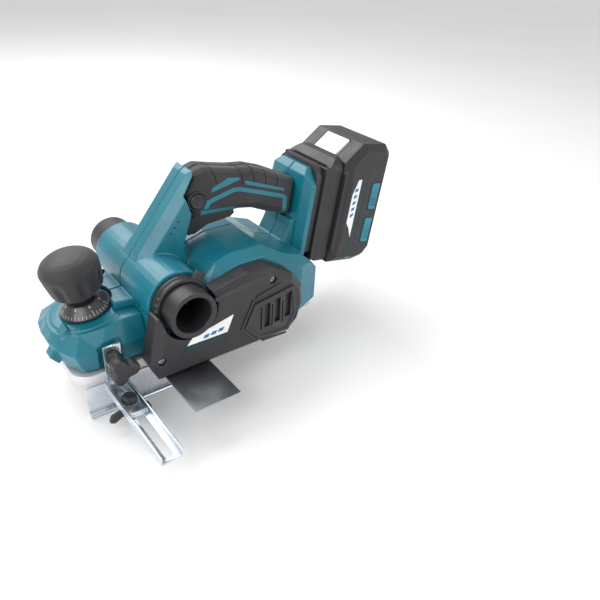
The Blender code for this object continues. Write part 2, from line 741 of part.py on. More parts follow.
def belt_outline(extra):
    """The belt's racetrack round both pulleys, at a distance from their faces."""
    first = (DRUM_X, DRUM_Z, DRUM_PULLEY_R + extra)
    second = (MOTOR_X, MOTOR_Z, MOTOR_PULLEY_R + extra)
    across = hypot(second[0] - first[0], second[1] - first[1])
    heading = atan2(second[1] - first[1], second[0] - first[0])
    lean = pi / 2 - atan2(first[2] - second[2], across)
    points = circle(first[:2], first[2], BELT_STEPS, heading + lean, 2 * pi - 2 * lean)
    points += circle(second[:2], second[2], BELT_STEPS, heading - lean, 2 * lean)
    return points


def make_drive_belt():
    outline = belt_outline(GAP + BELT_THICK)
    belt = side_prism("drive_belt", outline, BELT_OUT + BELT_MARGIN, BELT_IN - BELT_MARGIN)
    cut(belt, side_prism("inside", belt_outline(GAP), BELT_OUT, BELT_IN))
    return finish(belt, RUBBER)


# ---------------------------------------------------------------- motor

def make_stator():
    low, high = STATOR_SPAN
    profile = [(STATOR_BORE, low), (STATOR_R, low), (STATOR_R, high), (STATOR_BORE, high)]
    return finish(turned("motor_stator", profile, SEGMENTS, along_y(MOTOR_X, MOTOR_Z)), STEEL)


def make_rotor():
    core = STATOR_BORE - AIR_GAP
    low, high = ROTOR_SPAN
    profile = [(0, SHAFT_END), (MOTOR_SHAFT_R, SHAFT_END), (MOTOR_SHAFT_R, low), (core, low), (core, high),
               (MOTOR_SHAFT_R, high), (MOTOR_SHAFT_R, MOTOR_SHAFT_END), (0, MOTOR_SHAFT_END)]
    rotor = turned("motor_rotor", profile, SEGMENTS, along_y(MOTOR_X, MOTOR_Z))
    return finish(rotor, COPPER, (MOTOR_X, 0, MOTOR_Z))


def make_fan():
    hole = MOTOR_SHAFT_R + GAP
    back, face, end = FAN_SPAN
    profile = [(hole, back), (FAN_R, back), (FAN_R, face), (FAN_HUB_R, face), (FAN_HUB_R, end), (hole, end)]
    disc = turned("motor_fan", profile, SEGMENTS, along_y(MOTOR_X, MOTOR_Z))
    for index in range(FAN_VANES):
        angle = 2 * pi * index / FAN_VANES
        outline = [(MOTOR_X + r * cos(angle) - t * sin(angle), MOTOR_Z + r * sin(angle) + t * cos(angle))
                   for r, t in VANE]
        join(disc, side_prism("vane", outline, -41, -34.5))
    return finish(disc, BLACK, (MOTOR_X, 0, MOTOR_Z))


# ---------------------------------------------------------------- belt cover

COVER_OUTLINE = [(-88, 3), (-95, 20), (-86, 57), (-38, 66), (-8, 73), (14, 73), (36, 60), (47, 46),
                 (49, 30), (44, 13), (33, 3)]
COVER_SCREWS = [(14, 62), (38, 20), (-86, 22)]
SCREW_WAY = 3.3
VENT_FRAME = [(-12, 28), (-5, 43), (30, 50), (37, 27), (29, 16), (0, 10.5)]
VENT_RAISED = 1.8
VENT_SLOTS = 3
VENT_FIRST = 10.0
VENT_PITCH = 8.5
VENT_WIDE = 3.5
VENT_LOW = 22.0
VENT_HIGH = 39.0
SCREW_HEAD = [(0, -3.2), (2.9, -3.2), (2.9, -1.2), (1.7, 0), (0, 0)]


def make_belt_cover():
    layers = [(COVER_BACK, COVER_OUTLINE), (COVER_EDGE, COVER_OUTLINE),
              (COVER_FACE, inset(COVER_OUTLINE, COVER_INSET))]
    cover = loft("belt_cover", [[(x, y, z) for x, z in outline] for y, outline in layers])
    room = inset(COVER_OUTLINE, COVER_WALL)
    cut(cover, side_prism("room", room, COVER_EDGE - 2 * GAP, COVER_BACK + OVER))
    nozzle_room = RING_R + 2 * GAP
    cut(cover, bore("nozzle_room", DUCT_X, DUCT_Z, nozzle_room, COVER_FACE - OVER, COVER_BACK + OVER))
    join(cover, side_prism("vent_frame", VENT_FRAME, COVER_FACE - VENT_RAISED, COVER_FACE + OVER))
    for index in range(VENT_SLOTS):
        x = VENT_FIRST + VENT_PITCH * index
        top = VENT_HIGH + index
        slot = [(x, VENT_LOW), (x + VENT_WIDE, VENT_LOW), (x + VENT_WIDE, top + 1), (x, top)]
        cut(cover, side_prism("vent", slot, COVER_FACE - 3, COVER_EDGE + OVER))
    for x, z in COVER_SCREWS:
        cut(cover, bore("screw_way", x, z, SCREW_WAY, COVER_FACE - OVER, COVER_EDGE + OVER, SMALL_HOLE))
    return finish(cover, BLACK)


def make_cover_screw(number):
    x, z = COVER_SCREWS[number - 1]
    screw = turned(f"cover_screw_{number}", SCREW_HEAD, SMALL_HOLE, along_y(x, z, COVER_EDGE + GAP))
    return finish(screw, STEEL)


# ---------------------------------------------------------------- dust outlet

def make_lock_ring():
    profile = [(NOZZLE_R + GAP, -BOSS_END - GAP), (RING_R, -BOSS_END - GAP), (RING_R, -RING_END + 1),
               (RING_R - 1, -RING_END), (NOZZLE_R + GAP, -RING_END)]
    ring = turned("nozzle_lock_ring", profile, FINE, along_y(DUCT_X, DUCT_Z))
    tab = box("tab", TAB_BOX[0], TAB_BOX[1])
    centre = Matrix.Translation((DUCT_X * MM, 0, DUCT_Z * MM))
    tab.data.transform(centre @ Matrix.Rotation(TAB_TURN, 4, "Y"))
    join(ring, tab)
    return finish(ring, BLACK, (DUCT_X, 0, DUCT_Z))


def make_dust_nozzle():
    edge = 1.5
    outer = [(DUCT_R - GAP, -SPIGOT_END), (DUCT_R - GAP, -BOSS_END), (NOZZLE_R, -BOSS_END - GAP),
             (NOZZLE_R, -NOZZLE_END + edge), (NOZZLE_R - edge, -NOZZLE_END)]
    inner = [(NOZZLE_BORE + 1, -NOZZLE_END), (NOZZLE_BORE, -NOZZLE_END + edge), (NOZZLE_BORE, -SPIGOT_END)]
    nozzle = turned("dust_nozzle", outer + inner, FINE, along_y(DUCT_X, DUCT_Z))
    return finish(nozzle, BLACK)


def make_duct_plug():
    edge = 3.0
    outer = [(DUCT_R - GAP, SPIGOT_END), (DUCT_R - GAP, BOSS_END), (RING_R, BOSS_END + GAP),
             (RING_R, BOSS_END + 4), (NOZZLE_R, BOSS_END + 6), (NOZZLE_R, PLUG_END - edge),
             (NOZZLE_R - edge, PLUG_END), (0, PLUG_END)]
    inner = [(0, PLUG_END - edge), (NOZZLE_BORE, PLUG_END - 5), (NOZZLE_BORE, SPIGOT_END)]
    plug = turned("duct_plug", outer + inner, FINE, along_y(DUCT_X, DUCT_Z))
    return finish(plug, BLACK)


# ---------------------------------------------------------------- depth knob

def make_depth_dial():
    hole = SCREW_R + GAP
    profile = [(hole, 0), (DIAL_R, 0), (DIAL_R, DIAL_EDGE), (NECK_R + 4, DIAL_HIGH), (hole, DIAL_HIGH)]
    dial = turned("depth_dial", profile, FINE, knob_place())
    return finish(dial, BLACK, (KNOB_X, 0, KNOB_Z))


def make_depth_knob():
    base = DIAL_HIGH + GAP
    profile = [(SCREW_R + GAP, base), (NECK_R, base), (NECK_R, HEAD_BASE), (15, HEAD_BASE),
               (20, HEAD_BASE + 2.5), (HEAD_R - 0.4, HEAD_BASE + 7), (HEAD_R, HEAD_BASE + 16),
               (21, HEAD_BASE + 23.5), (17.5, HEAD_TOP - 3.5), (10, HEAD_TOP - 0.6), (0, HEAD_TOP),
               (0, HEAD_BASE + 6), (SCREW_R + GAP, HEAD_BASE + 6)]
    knob = turned("depth_knob", profile, FINE, knob_place())
    return finish(knob, RUBBER, (KNOB_X, 0, KNOB_Z))


def make_depth_screw():
    low, high = SCREW_COLLAR
    profile = [(0, SCREW_END), (SCREW_R, SCREW_END), (SCREW_R, low), (SCREW_COLLAR_R, low),
               (SCREW_COLLAR_R, high), (SCREW_R, high), (SCREW_R, SCREW_TOP), (0, SCREW_TOP)]
    screw = turned("depth_screw", profile, HOLE, knob_place())
    return finish(screw, STEEL, (KNOB_X, 0, KNOB_Z))


# ---------------------------------------------------------------- battery

MOUNT_PLATE = ((GAP, -28, 2), (7, 28, 84))
MOUNT_STEM = ((6, -17, 4), (10.2, 17, 80))
MOUNT_HEAD = ((10, -23.5, 3), (12.7, 23.5, 81))
TERMINAL_BASE = ((13.0, -14, 34), (14.0, 14, 50))
TERMINALS = 4
TERMINAL_PITCH = 7.0
TERMINAL_HALF = 0.6
UPPER_LOW = -6.0
UPPER_SIDE = [(13.2, UPPER_LOW), (13.2, 72), (13.2, 84), (20, 90), (PACK_SPLIT - GAP, 92),
              (PACK_SPLIT - GAP, UPPER_LOW - 2)]
RAIL_HOOK = [(7.4, 17.8), (9.6, 17.8), (9.6, 24.2), (14, 24.2), (14, 30.6), (7.4, 30.6)]
TERMINAL_ROOM = ((12, -16, UPPER_LOW - 3), (16.8, 16, 60))
CELL_SIDE = ((17.5, -26, 2), (PACK_SPLIT + 1, 26, 80))


def make_battery_mount():
    plate = pack_box("battery_mount", MOUNT_PLATE[0], MOUNT_PLATE[1])
    stem = pack_box("stem", MOUNT_STEM[0], MOUNT_STEM[1])
    head = pack_box("head", MOUNT_HEAD[0], MOUNT_HEAD[1])
    join(plate, stem, head)
    return finish(plate, BLACK)


def make_battery_terminals():
    base = pack_box("battery_terminals", TERMINAL_BASE[0], TERMINAL_BASE[1])
    for index in range(TERMINALS):
        y = TERMINAL_PITCH * (index - (TERMINALS - 1) / 2)
        blade = pack_box("blade", (13.5, y - TERMINAL_HALF, 35), (16.2, y + TERMINAL_HALF, 49))
        join(base, blade)
    return finish(base, COPPER)


def make_upper_case():
    """The pack's front shell, whose hooked rails slide over the mount's T-shaped head."""
    shell = pack_side_prism("battery_upper_case", UPPER_SIDE, -RAIL_HALF, RAIL_HALF)
    for sign in (-1, 1):
        hook = [(w, y * sign) for w, y in RAIL_HOOK]
        join(shell, pack_section("rail", hook, UPPER_LOW + 2, 83))
    cut(shell, pack_box("terminal_room", TERMINAL_ROOM[0], TERMINAL_ROOM[1]))
    cut(shell, pack_box("cell_side", CELL_SIDE[0], CELL_SIDE[1]))
    return finish(shell, BLACK)


PADS = (1, 2, 3, 4)
CELL_ROOM = [(31.5, -2), (31.5, 83.7), (39.4, 91.2), (74, 91.2), (74, -2)]
BUTTON_SEAT = [(31.2, 84.8), (47.2, 99.9), (38.7, 109.0), (22.7, 93.9)]
LOWER_SIDE = [(PACK_SPLIT, -8), (PACK_SPLIT, 88), (45, 105), (72, 105), (PACK_REAR, 97),
              (PACK_REAR, 4), (72, -6), (60, -9)]
PACK_EDGE = 6.0
CELL_ROOM_HALF = 34.2
FRONT_WAY_HALF = 28.0
SEAT_HALF = 15.5
BUTTON_HALF = 14.8
PAD_W = (61, 70)
PAD_U = ((45, 70), (12, 36))
PAD_SINK = 1.0
PAD_PROUD = 0.6
CELL_R = 9.2
CELL_PITCH = 18.2
CELL_ROWS = 5
CELL_FIRST = (43.5, 8.8)
CELL_HALF = 32.5
CELL_HOLDER = ((40, -30, 2), (66, 30, 88))
CELL_SIDES = 16


def make_lower_case():
    inner = inset(LOWER_SIDE, PACK_EDGE)
    edge = PACK_HALF - PACK_EDGE
    layers = [(-PACK_HALF, inner), (-edge, LOWER_SIDE), (edge, LOWER_SIDE), (PACK_HALF, inner)]
    case = pack_loft("battery_lower_case", layers)
    cut(case, pack_side_prism("cell_room", CELL_ROOM, -CELL_ROOM_HALF, CELL_ROOM_HALF))
    cut(case, pack_box("front_way", (PACK_SPLIT - OVER, -FRONT_WAY_HALF, -1),
                       (CELL_ROOM[0][0] + OVER, FRONT_WAY_HALF, 80)))
    # the sloping seat of the release button
    cut(case, pack_side_prism("button_seat", BUTTON_SEAT, -SEAT_HALF, SEAT_HALF))
    for number in PADS:
        low, high = pad_box(number)
        room_low = (low[0] - GAP, low[1] - GAP, low[2] - GAP)
        room_high = (high[0] + GAP, high[1] + GAP, high[2] + GAP)
        cut(case, pack_box("pad_room", room_low, room_high))
    return finish(case, BLACK)


def pad_box(number):
    """Two rubber pads stand on each side of the pack, near its rear edge."""
    sign = -1 if number <= 2 else 1
    low_u, high_u = PAD_U[(number - 1) % 2]
    across = sorted(((PACK_HALF - PAD_SINK) * sign, (PACK_HALF + PAD_PROUD) * sign))
    return (PAD_W[0], across[0], low_u), (PAD_W[1], across[1], high_u)


def make_pad(number):
    low, high = pad_box(number)
    return finish(pack_box(f"battery_pad_{number}", low, high), TEAL_RUBBER)


def make_cell_block():
    """Ten round cells in their holder, lying across the pack."""
    block = pack_box("cell_block", CELL_HOLDER[0], CELL_HOLDER[1])
    for row in range(CELL_ROWS):
        for column in (0, 1):
            centre = (CELL_FIRST[0] + column * CELL_PITCH, CELL_FIRST[1] + row * CELL_PITCH)
            outline = circle(centre, CELL_R, CELL_SIDES)
            join(block, pack_side_prism("cell", outline, -CELL_HALF, CELL_HALF))
    return finish(block, CELL)


def make_release_button():
    """Lies on the sloping seat, with its travel down into the pack."""
    outline = [(30.0, 87.0), (44.3, 100.5), (42.9, 103.6), (41.6, 104), (27.6, 90.8), (27.6, 89.6)]
    button = pack_side_prism("release_button", outline, -BUTTON_HALF, BUTTON_HALF)
    return finish(button, WHITE, pack_point(36, 0, 95))


# ---------------------------------------------------------------- fence

def make_fence_bracket():
    """Zinc plate bent down the knob housing and out along the arm's channel."""
    back = LEAF_BACK
    front = LEAF_BACK - LEAF_THICK
    half = ARM_HALF - 1.8
    outline = [(back, LEAF_TOP), (back, -5.6), (-86, -5.6), (-86, -1.2), (-84.6, -1.2), (-84.6, -3.2),
               (front, -3.2), (front, LEAF_TOP)]
    bracket = front_prism("fence_bracket", outline, ARM_X - half, ARM_X + half)
    hole_span = (front - 2.2, back + 1.6)
    cut(bracket, bore("wing_bolt_hole", ARM_X, WING_BOLT_Z, BOLT_HOLE_R,
                      hole_span[0], hole_span[1], SMALL_HOLE))
    hole = circle((ARM_X, FENCE_BOLT_Y), BOLT_HOLE_R, SMALL_HOLE)
    cut(bracket, plan_prism("fence_bolt_hole", hole, -7, 0))
    return finish(bracket, ZINC)


def make_guide_fence():
    """Channel-shaped slotted arm with the fence plate under the sole's edge."""
    left = ARM_X - ARM_HALF
    right = ARM_X + ARM_HALF
    arm = box("guide_fence", (left, ARM_END, ARM_FLOOR - ARM_SHEET), (right, FENCE_FACE, ARM_FLOOR))
    for low, high in ((left, left + ARM_SHEET), (right - ARM_SHEET, right)):
        join(arm, box("flange", (low, ARM_END, ARM_FLOOR - 0.5), (high, FENCE_FACE - 1, ARM_TOP)))
    plate = [(FENCE_FACE, ARM_TOP - 0.2), (FENCE_FACE, FENCE_BOTTOM + 2), (FENCE_FACE - 2, FENCE_BOTTOM),
             (FENCE_FACE - 5, FENCE_BOTTOM), (FENCE_FACE - 6, FENCE_BOTTOM + 1.5),
             (FENCE_FACE - 5.4, FENCE_BOTTOM + 2.6), (FENCE_FACE - 4, FENCE_BOTTOM + 1.8),
             (FENCE_FACE - 2.2, FENCE_BOTTOM + 3), (FENCE_FACE - 2, ARM_TOP - 0.2)]
    join(arm, front_prism("plate", plate, FENCE_LEFT, FENCE_RIGHT))
    slot = circle((ARM_X, SLOT_ENDS[0]), SLOT_R, 12, pi, pi)
    slot += circle((ARM_X, SLOT_ENDS[1]), SLOT_R, 12, 0, pi)
    cut(arm, plan_prism("slot", slot, ARM_FLOOR - 3, ARM_FLOOR + 1))
    # the middle of the plate is open where the bracket's leaf passes over it
    passage = box("passage", (left + ARM_SHEET, FENCE_FACE - 3, ARM_FLOOR),
                  (right - ARM_SHEET, FENCE_FACE + OVER, 1))
    cut(arm, passage)
    return finish(arm, ZINC, (ARM_X, 0, ARM_FLOOR))


def lobes(centre, radius, reach, count, steps=12):
    """A round outline that swells into lobes, as a hand knob's does."""
    points = []
    total = count * steps
    for index in range(total):
        angle = 2 * pi * index / total
        size = radius + reach * (0.5 + 0.5 * cos(count * angle)) ** 0.8
        points.append((centre[0] + size * cos(angle), centre[1] + size * sin(angle)))
    return points


def make_wing_bolt():
    """Black three-lobed hand bolt that clamps the bracket to the knob housing."""
    outline = lobes((ARM_X, WING_BOLT_Z), WING_BOLT_R, WING_BOLT_LOBE, 3)
    head = side_prism("fence_wing_bolt", outline, WING_BOLT_HEAD[0], WING_BOLT_HEAD[1])
    place = along_y(ARM_X, WING_BOLT_Z)
    neck_end = LEAF_BACK - LEAF_THICK - GAP
    neck = turned("neck", [(0, -60), (6, -60), (6, neck_end), (0, neck_end)], HOLE, place)
    shank_start = neck_end - 0.9
    shank_profile = [(0, shank_start), (SHANK_R, shank_start), (SHANK_R, -30), (0, -30)]
    shank = turned("shank", shank_profile, SMALL_HOLE, place)
    join(head, neck, shank)
    return finish(head, BLACK, (ARM_X, -52, WING_BOLT_Z))


def make_fence_bolt():
    seat = -2.9
    head = [(0, -18), (SHANK_R, -18), (SHANK_R, seat), (6, seat), (6, -1.2), (4, 0.9), (0, 1.6)]
    bolt = turned("fence_bolt", head, COARSE, upright(ARM_X, FENCE_BOLT_Y))
    return finish(bolt, BLACK)


def make_wing_nut():
    top = ARM_FLOOR - ARM_SHEET - GAP
    low = top - NUT_HIGH
    profile = [(SHANK_R + 0.2, low), (NUT_R, low), (NUT_R, top), (SHANK_R + 0.2, top)]
    hub = turned("fence_wing_nut", profile, HOLE, upright(ARM_X, FENCE_BOLT_Y))
    for sign in (-1, 1):
        wing = [(5 * sign, top - 2), (15 * sign, top - 5), (17 * sign, top - 10), (13 * sign, top - 12),
                (5 * sign, top - 7.5)]
        placed = [(ARM_X + x, z) for x, z in wing]
        join(hub, side_prism("wing", placed, FENCE_BOLT_Y - WING_HALF, FENCE_BOLT_Y + WING_HALF))
    return finish(hub, BLACK, (ARM_X, FENCE_BOLT_Y, top))


def make_side_plate():
    plate = box("side_plate", PLATE_BOX[0], PLATE_BOX[1])
    return finish(plate, STEEL)


# ---------------------------------------------------------------- build

def build():
    clear_scene()
    make_rear_sole()
    make_front_shoe()
    for side in (-1, 1):
        make_housing(side)
        make_grip(side)
    make_knob_housing()
    make_drum_side_cover()
    make_trigger()
    make_lock_off_button()
    make_switch_body()
    make_cutter_drum()
    for number in (1, 2):
        make_blade(number)
        make_blade_clamp(number)
    for name, seat in DRUM_BEARINGS.items():
        make_bearing(name, DRUM_X, DRUM_Z, BEARING_R, SHAFT_R + GAP, seat[0], seat[1])
    for name, seat in MOTOR_BEARINGS.items():
        make_bearing(name, MOTOR_X, MOTOR_Z, MOTOR_BEARING_R, MOTOR_SHAFT_R + GAP, seat[0], seat[1])
    make_pulley("drum_pulley", DRUM_X, DRUM_Z, DRUM_PULLEY_R, SHAFT_R + GAP)
    make_pulley("motor_pulley", MOTOR_X, MOTOR_Z, MOTOR_PULLEY_R, MOTOR_SHAFT_R + GAP)
    make_drive_belt()
    make_stator()
    make_rotor()
    make_fan()
    make_belt_cover()
    for number in (1, 2, 3):
        make_cover_screw(number)
    make_lock_ring()
    make_dust_nozzle()
    make_duct_plug()
    make_depth_dial()
    make_depth_knob()
    make_depth_screw()
    make_battery_mount()
    make_battery_terminals()
    make_upper_case()
    make_lower_case()
    make_cell_block()
    make_release_button()
    for number in PADS:
        make_pad(number)
    make_fence_bracket()
    make_guide_fence()
    make_wing_bolt()
    make_fence_bolt()
    make_wing_nut()
    make_side_plate()


build()
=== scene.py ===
"""Looks of the cordless hand planer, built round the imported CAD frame."""
import json
from math import cos, pi, radians, sin

import bmesh
import bpy
from mathutils import Matrix, Vector


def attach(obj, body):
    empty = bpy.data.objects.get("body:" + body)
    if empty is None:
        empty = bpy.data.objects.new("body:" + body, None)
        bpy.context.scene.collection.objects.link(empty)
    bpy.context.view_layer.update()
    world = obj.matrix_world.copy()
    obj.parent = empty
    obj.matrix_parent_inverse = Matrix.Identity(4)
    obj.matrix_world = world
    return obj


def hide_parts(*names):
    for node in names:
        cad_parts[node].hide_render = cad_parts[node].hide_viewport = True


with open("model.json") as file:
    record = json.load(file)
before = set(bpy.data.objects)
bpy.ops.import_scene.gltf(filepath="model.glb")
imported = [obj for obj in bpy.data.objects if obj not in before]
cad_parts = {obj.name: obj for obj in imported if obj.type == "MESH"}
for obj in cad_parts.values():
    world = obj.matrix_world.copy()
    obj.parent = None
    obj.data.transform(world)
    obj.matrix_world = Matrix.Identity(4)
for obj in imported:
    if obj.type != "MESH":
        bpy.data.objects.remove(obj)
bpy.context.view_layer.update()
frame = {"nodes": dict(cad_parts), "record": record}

NODES = frame["nodes"]
MM = 0.001
SIDES = ((-1, "left"), (1, "right"))

# Places shared with the CAD, in millimetres
DUCT = (-60.0, 57.0)
KNOB = (-114.0, 43.0)
KNOB_LEAN = radians(12.0)
PACK = (78.0, 45.0)
PACK_LEAN = radians(8.5)
LOCK_OFF = (-22, 117)
ARM_X = -113.5
WING_Z = 22.0
FENCE_BOLT_Y = -68
FLOOR_Z = -28.4

# Camera: azimuth, elevation and roll, then its place in metres and its lens
VIEW_ANGLES = (radians(-39.46), radians(32.53), radians(-3.69))
VIEW_PLACE = (-0.2337, -0.4075, 0.3106)
VIEW_LENS = 36.35
SENSOR_WIDTH = 36.0
VIEW_CLIP = (0.01, 50.0)

# Studio light, in metres and watts: name, place, size and power of each lamp
LAMPS = [
    ("top_back", (-0.15, 0.75, 0.95), (1.1, 0.8), 12),
    ("key_left", (-0.95, -0.35, 0.75), (0.7, 0.7), 6),
    ("fill_right", (0.55, -0.9, 0.45), (0.8, 0.6), 3),
]
LAMP_TARGET = (0, 0, 0.05)
SKY_STRENGTH = 0.72
FLOOR_HALF = 6.0


# ---------------------------------------------------------------- camera and light

def make_camera():
    azimuth, elevation, roll = VIEW_ANGLES
    back = Vector((sin(azimuth) * cos(elevation), -cos(azimuth) * cos(elevation), sin(elevation)))
    right = (-back).cross(Vector((0, 0, 1))).normalized()
    down = (-back).cross(right)
    image_right = cos(roll) * right + sin(roll) * down
    image_down = -sin(roll) * right + cos(roll) * down
    placed = Matrix((image_right, -image_down, back)).transposed().to_4x4()
    placed.translation = VIEW_PLACE
    data = bpy.data.cameras.new("camera")
    data.sensor_width = SENSOR_WIDTH
    data.lens = VIEW_LENS
    data.clip_start, data.clip_end = VIEW_CLIP
    camera = bpy.data.objects.new("camera", data)
    camera.matrix_world = placed
    bpy.context.scene.collection.objects.link(camera)
    bpy.context.scene.camera = camera


def area_light(name, place, size, power):
    data = bpy.data.lights.new(name, "AREA")
    data.shape = "RECTANGLE"
    data.size, data.size_y = size
    data.energy = power
    lamp = bpy.data.objects.new(name, data)
    lamp.location = place
    lamp.rotation_euler = (Vector(LAMP_TARGET) - Vector(place)).to_track_quat("-Z", "Y").to_euler()
    bpy.context.scene.collection.objects.link(lamp)


def make_stage():
    world = bpy.data.worlds.new("studio")
    world.use_nodes = True
    world.node_tree.nodes["Background"].inputs["Color"].default_value = (1.0, 1.0, 1.0, 1)
    world.node_tree.nodes["Background"].inputs["Strength"].default_value = SKY_STRENGTH
    bpy.context.scene.world = world
    bpy.context.scene.view_settings.view_transform = "Standard"
    for lamp in LAMPS:
        area_light(*lamp)
    floor = bpy.data.meshes.new("floor")
    corners = [(x * FLOOR_HALF, y * FLOOR_HALF, 0) for x, y in ((-1, -1), (1, -1), (1, 1), (-1, 1))]
    floor.from_pydata(corners, [], [(0, 1, 2, 3)])
    floor_object = bpy.data.objects.new("floor", floor)
    floor_object.location = (0, 0, FLOOR_Z * MM)
    floor.materials.append(plain_floor())
    bpy.context.scene.collection.objects.link(floor_object)


# ---------------------------------------------------------------- materials

# Pointiness between which the painted edge highlights fade in
EDGE_HIGHLIGHT_RANGE = (0.52, 0.62)
# Colour sockets of the mix node
MIX_FIRST, MIX_SECOND, MIX_RESULT = 6, 7, 2


def node(tree, kind, **settings):
    made = tree.nodes.new(kind)
    for key, value in settings.items():
        setattr(made, key, value)
    return made


def new_material(name):
    made = bpy.data.materials.new(name)
    made.use_nodes = True
    tree = made.node_tree
    return made, tree, tree.nodes["Principled BSDF"]


def coordinates(tree, stretch=(1, 1, 1), turn=(0, 0, 0)):
    source = node(tree, "ShaderNodeTexCoord")
    mapping = node(tree, "ShaderNodeMapping")
    mapping.inputs["Scale"].default_value = stretch
    mapping.inputs["Rotation"].default_value = turn
    tree.links.new(source.outputs["Object"], mapping.inputs["Vector"])
    return mapping.outputs["Vector"]


def noise(tree, vector, scale, detail=3.0, roughness=0.55):
    made = node(tree, "ShaderNodeTexNoise")
    made.inputs["Scale"].default_value = scale
    made.inputs["Detail"].default_value = detail
    made.inputs["Roughness"].default_value = roughness
    tree.links.new(vector, made.inputs["Vector"])
    return made.outputs["Fac"]


def ramp(tree, factor, stops):
    made = node(tree, "ShaderNodeValToRGB")
    elements = made.color_ramp.elements
    while len(elements) < len(stops):
        elements.new(0.5)
    for element, (position, colour) in zip(elements, stops):
        element.position = position
        element.color = colour
    tree.links.new(factor, made.inputs["Fac"])
    return made.outputs["Color"]


def grey(value):
    return (value, value, value, 1)


def shade(colour, factor):
    return tuple(min(1.0, part * factor) for part in colour[:3]) + (1,)


def mix(tree, factor, first, second, blend="MIX"):
    made = node(tree, "ShaderNodeMix", data_type="RGBA", blend_type=blend)
    if isinstance(factor, float):
        made.inputs["Factor"].default_value = factor
    else:
        tree.links.new(factor, made.inputs["Factor"])
    for socket, value in ((made.inputs[MIX_FIRST], first), (made.inputs[MIX_SECOND], second)):
        if isinstance(value, tuple):
            socket.default_value = value
        else:
            tree.links.new(value, socket)
    return made.outputs[MIX_RESULT]


def bump(tree, shader, layers):
    """layers: (height, strength, distance in metres), the last one nearest the surface."""
    last = None
    for height, strength, distance in layers:
        made = node(tree, "ShaderNodeBump")
        made.inputs["Strength"].default_value = strength
        made.inputs["Distance"].default_value = distance
        tree.links.new(height, made.inputs["Height"])
        if last is not None:
            tree.links.new(last, made.inputs["Normal"])
        last = made.outputs["Normal"]
    tree.links.new(last, shader.inputs["Normal"])


def edge_wear(tree):
    """Painted highlight: white on the sharp outer edges, where convex edges would catch the light."""
    geometry = node(tree, "ShaderNodeNewGeometry")
    low, high = EDGE_HIGHLIGHT_RANGE
    return ramp(tree, geometry.outputs["Pointiness"], [(low, grey(0)), (high, grey(1))])


def plastic(name, colour, rough, grain=900.0, grain_height=0.00006, highlight_gain=0.35, coat=0.0):
    """Moulded plastic: spark-eroded grain, faint flow marks, painted highlights on the edges, uneven gloss.
    """
    made, tree, shader = new_material(name)
    vector = coordinates(tree)
    broad = noise(tree, vector, 22.0, 4.0)
    tone = ramp(tree, broad, [(0.3, shade(colour, 0.86)), (0.7, shade(colour, 1.12))])
    # Painted highlight: the colour is lightened on the sharp edges.
    highlighted = mix(tree, edge_wear(tree), tone, shade(colour, 1.0 + highlight_gain) if highlight_gain else tone)
    tree.links.new(highlighted, shader.inputs["Base Color"])
    smudge = noise(tree, vector, 70.0, 5.0, 0.65)
    gloss = ramp(tree, smudge, [(0.3, grey(max(0.05, rough - 0.07))), (0.75, grey(rough + 0.09))])
    tree.links.new(gloss, shader.inputs["Roughness"])
    fine = noise(tree, vector, grain, 2.0, 0.5)
    flow = noise(tree, vector, 9.0, 2.0)
    bump(tree, shader, [(flow, 0.25, 0.0004), (fine, 0.35, grain_height)])
    shader.inputs["Coat Weight"].default_value = coat
    return made


def rubber(name, colour, rough=0.72):
    """Soft overmoulding with a cellular stipple and a dusty sheen."""
    made, tree, shader = new_material(name)
    vector = coordinates(tree)
    broad = noise(tree, vector, 30.0, 4.0)
    tone = ramp(tree, broad, [(0.3, shade(colour, 0.8)), (0.72, shade(colour, 1.25))])
    # Painted highlight: the sharp edges are lightened.
    tree.links.new(mix(tree, edge_wear(tree), tone, shade(colour, 1.8)), shader.inputs["Base Color"])
    cells = node(tree, "ShaderNodeTexVoronoi")
    cells.inputs["Scale"].default_value = 950.0
    tree.links.new(vector, cells.inputs["Vector"])
    smudge = noise(tree, vector, 45.0, 5.0)
    tree.links.new(ramp(tree, smudge, [(0.3, grey(rough - 0.1)), (0.7, grey(rough + 0.08))]),
                   shader.inputs["Roughness"])
    bump(tree, shader, [(noise(tree, vector, 14.0, 2.0), 0.2, 0.0004),
                        (cells.outputs["Distance"], 0.4, 0.00009)])
    shader.inputs["Sheen Weight"].default_value = 0.12
    return made


def metal(name, colour, rough, stretch=(1, 1, 1), lines=900.0, depth=0.00003, spangle=0.0, metallic=1.0):
    """Metal with directional grinding lines, stains and, on zinc, a crystal pattern."""
    made, tree, shader = new_material(name)
    vector = coordinates(tree)
    along = coordinates(tree, stretch)
    streaks = noise(tree, along, lines, 3.0, 0.6)
    stains = noise(tree, vector, 28.0, 5.0, 0.6)
    tone = ramp(tree, stains, [(0.3, shade(colour, 0.82)), (0.7, shade(colour, 1.1))])
    tone = mix(tree, ramp(tree, streaks, [(0.3, grey(0)), (0.75, grey(0.35))]), tone, shade(colour, 1.25))
    if spangle:
        cells = node(tree, "ShaderNodeTexVoronoi")
        cells.inputs["Scale"].default_value = 160.0
        tree.links.new(vector, cells.inputs["Vector"])
        crystals = ramp(tree, cells.outputs["Distance"], [(0.1, grey(0.25)), (0.8, grey(0.75))])
        tone = mix(tree, spangle, tone, crystals, "SOFT_LIGHT")
    tree.links.new(tone, shader.inputs["Base Color"])
    shader.inputs["Metallic"].default_value = metallic
    gloss = mix(tree, 0.5, ramp(tree, streaks, [(0.25, grey(rough - 0.08)), (0.8, grey(rough + 0.14))]),
                ramp(tree, stains, [(0.3, grey(rough - 0.06)), (0.7, grey(rough + 0.1))]))
    tree.links.new(gloss, shader.inputs["Roughness"])
    bump(tree, shader, [(streaks, 0.3, depth)])
    return made


def plain_floor():
    made, tree, shader = new_material("studio_floor")
    vector = coordinates(tree)
    tone = ramp(tree, noise(tree, vector, 3.0), [(0.3, grey(0.86)), (0.7, grey(0.89))])
    tree.links.new(tone, shader.inputs["Base Color"])
    shader.inputs["Roughness"].default_value = 0.7
    return made


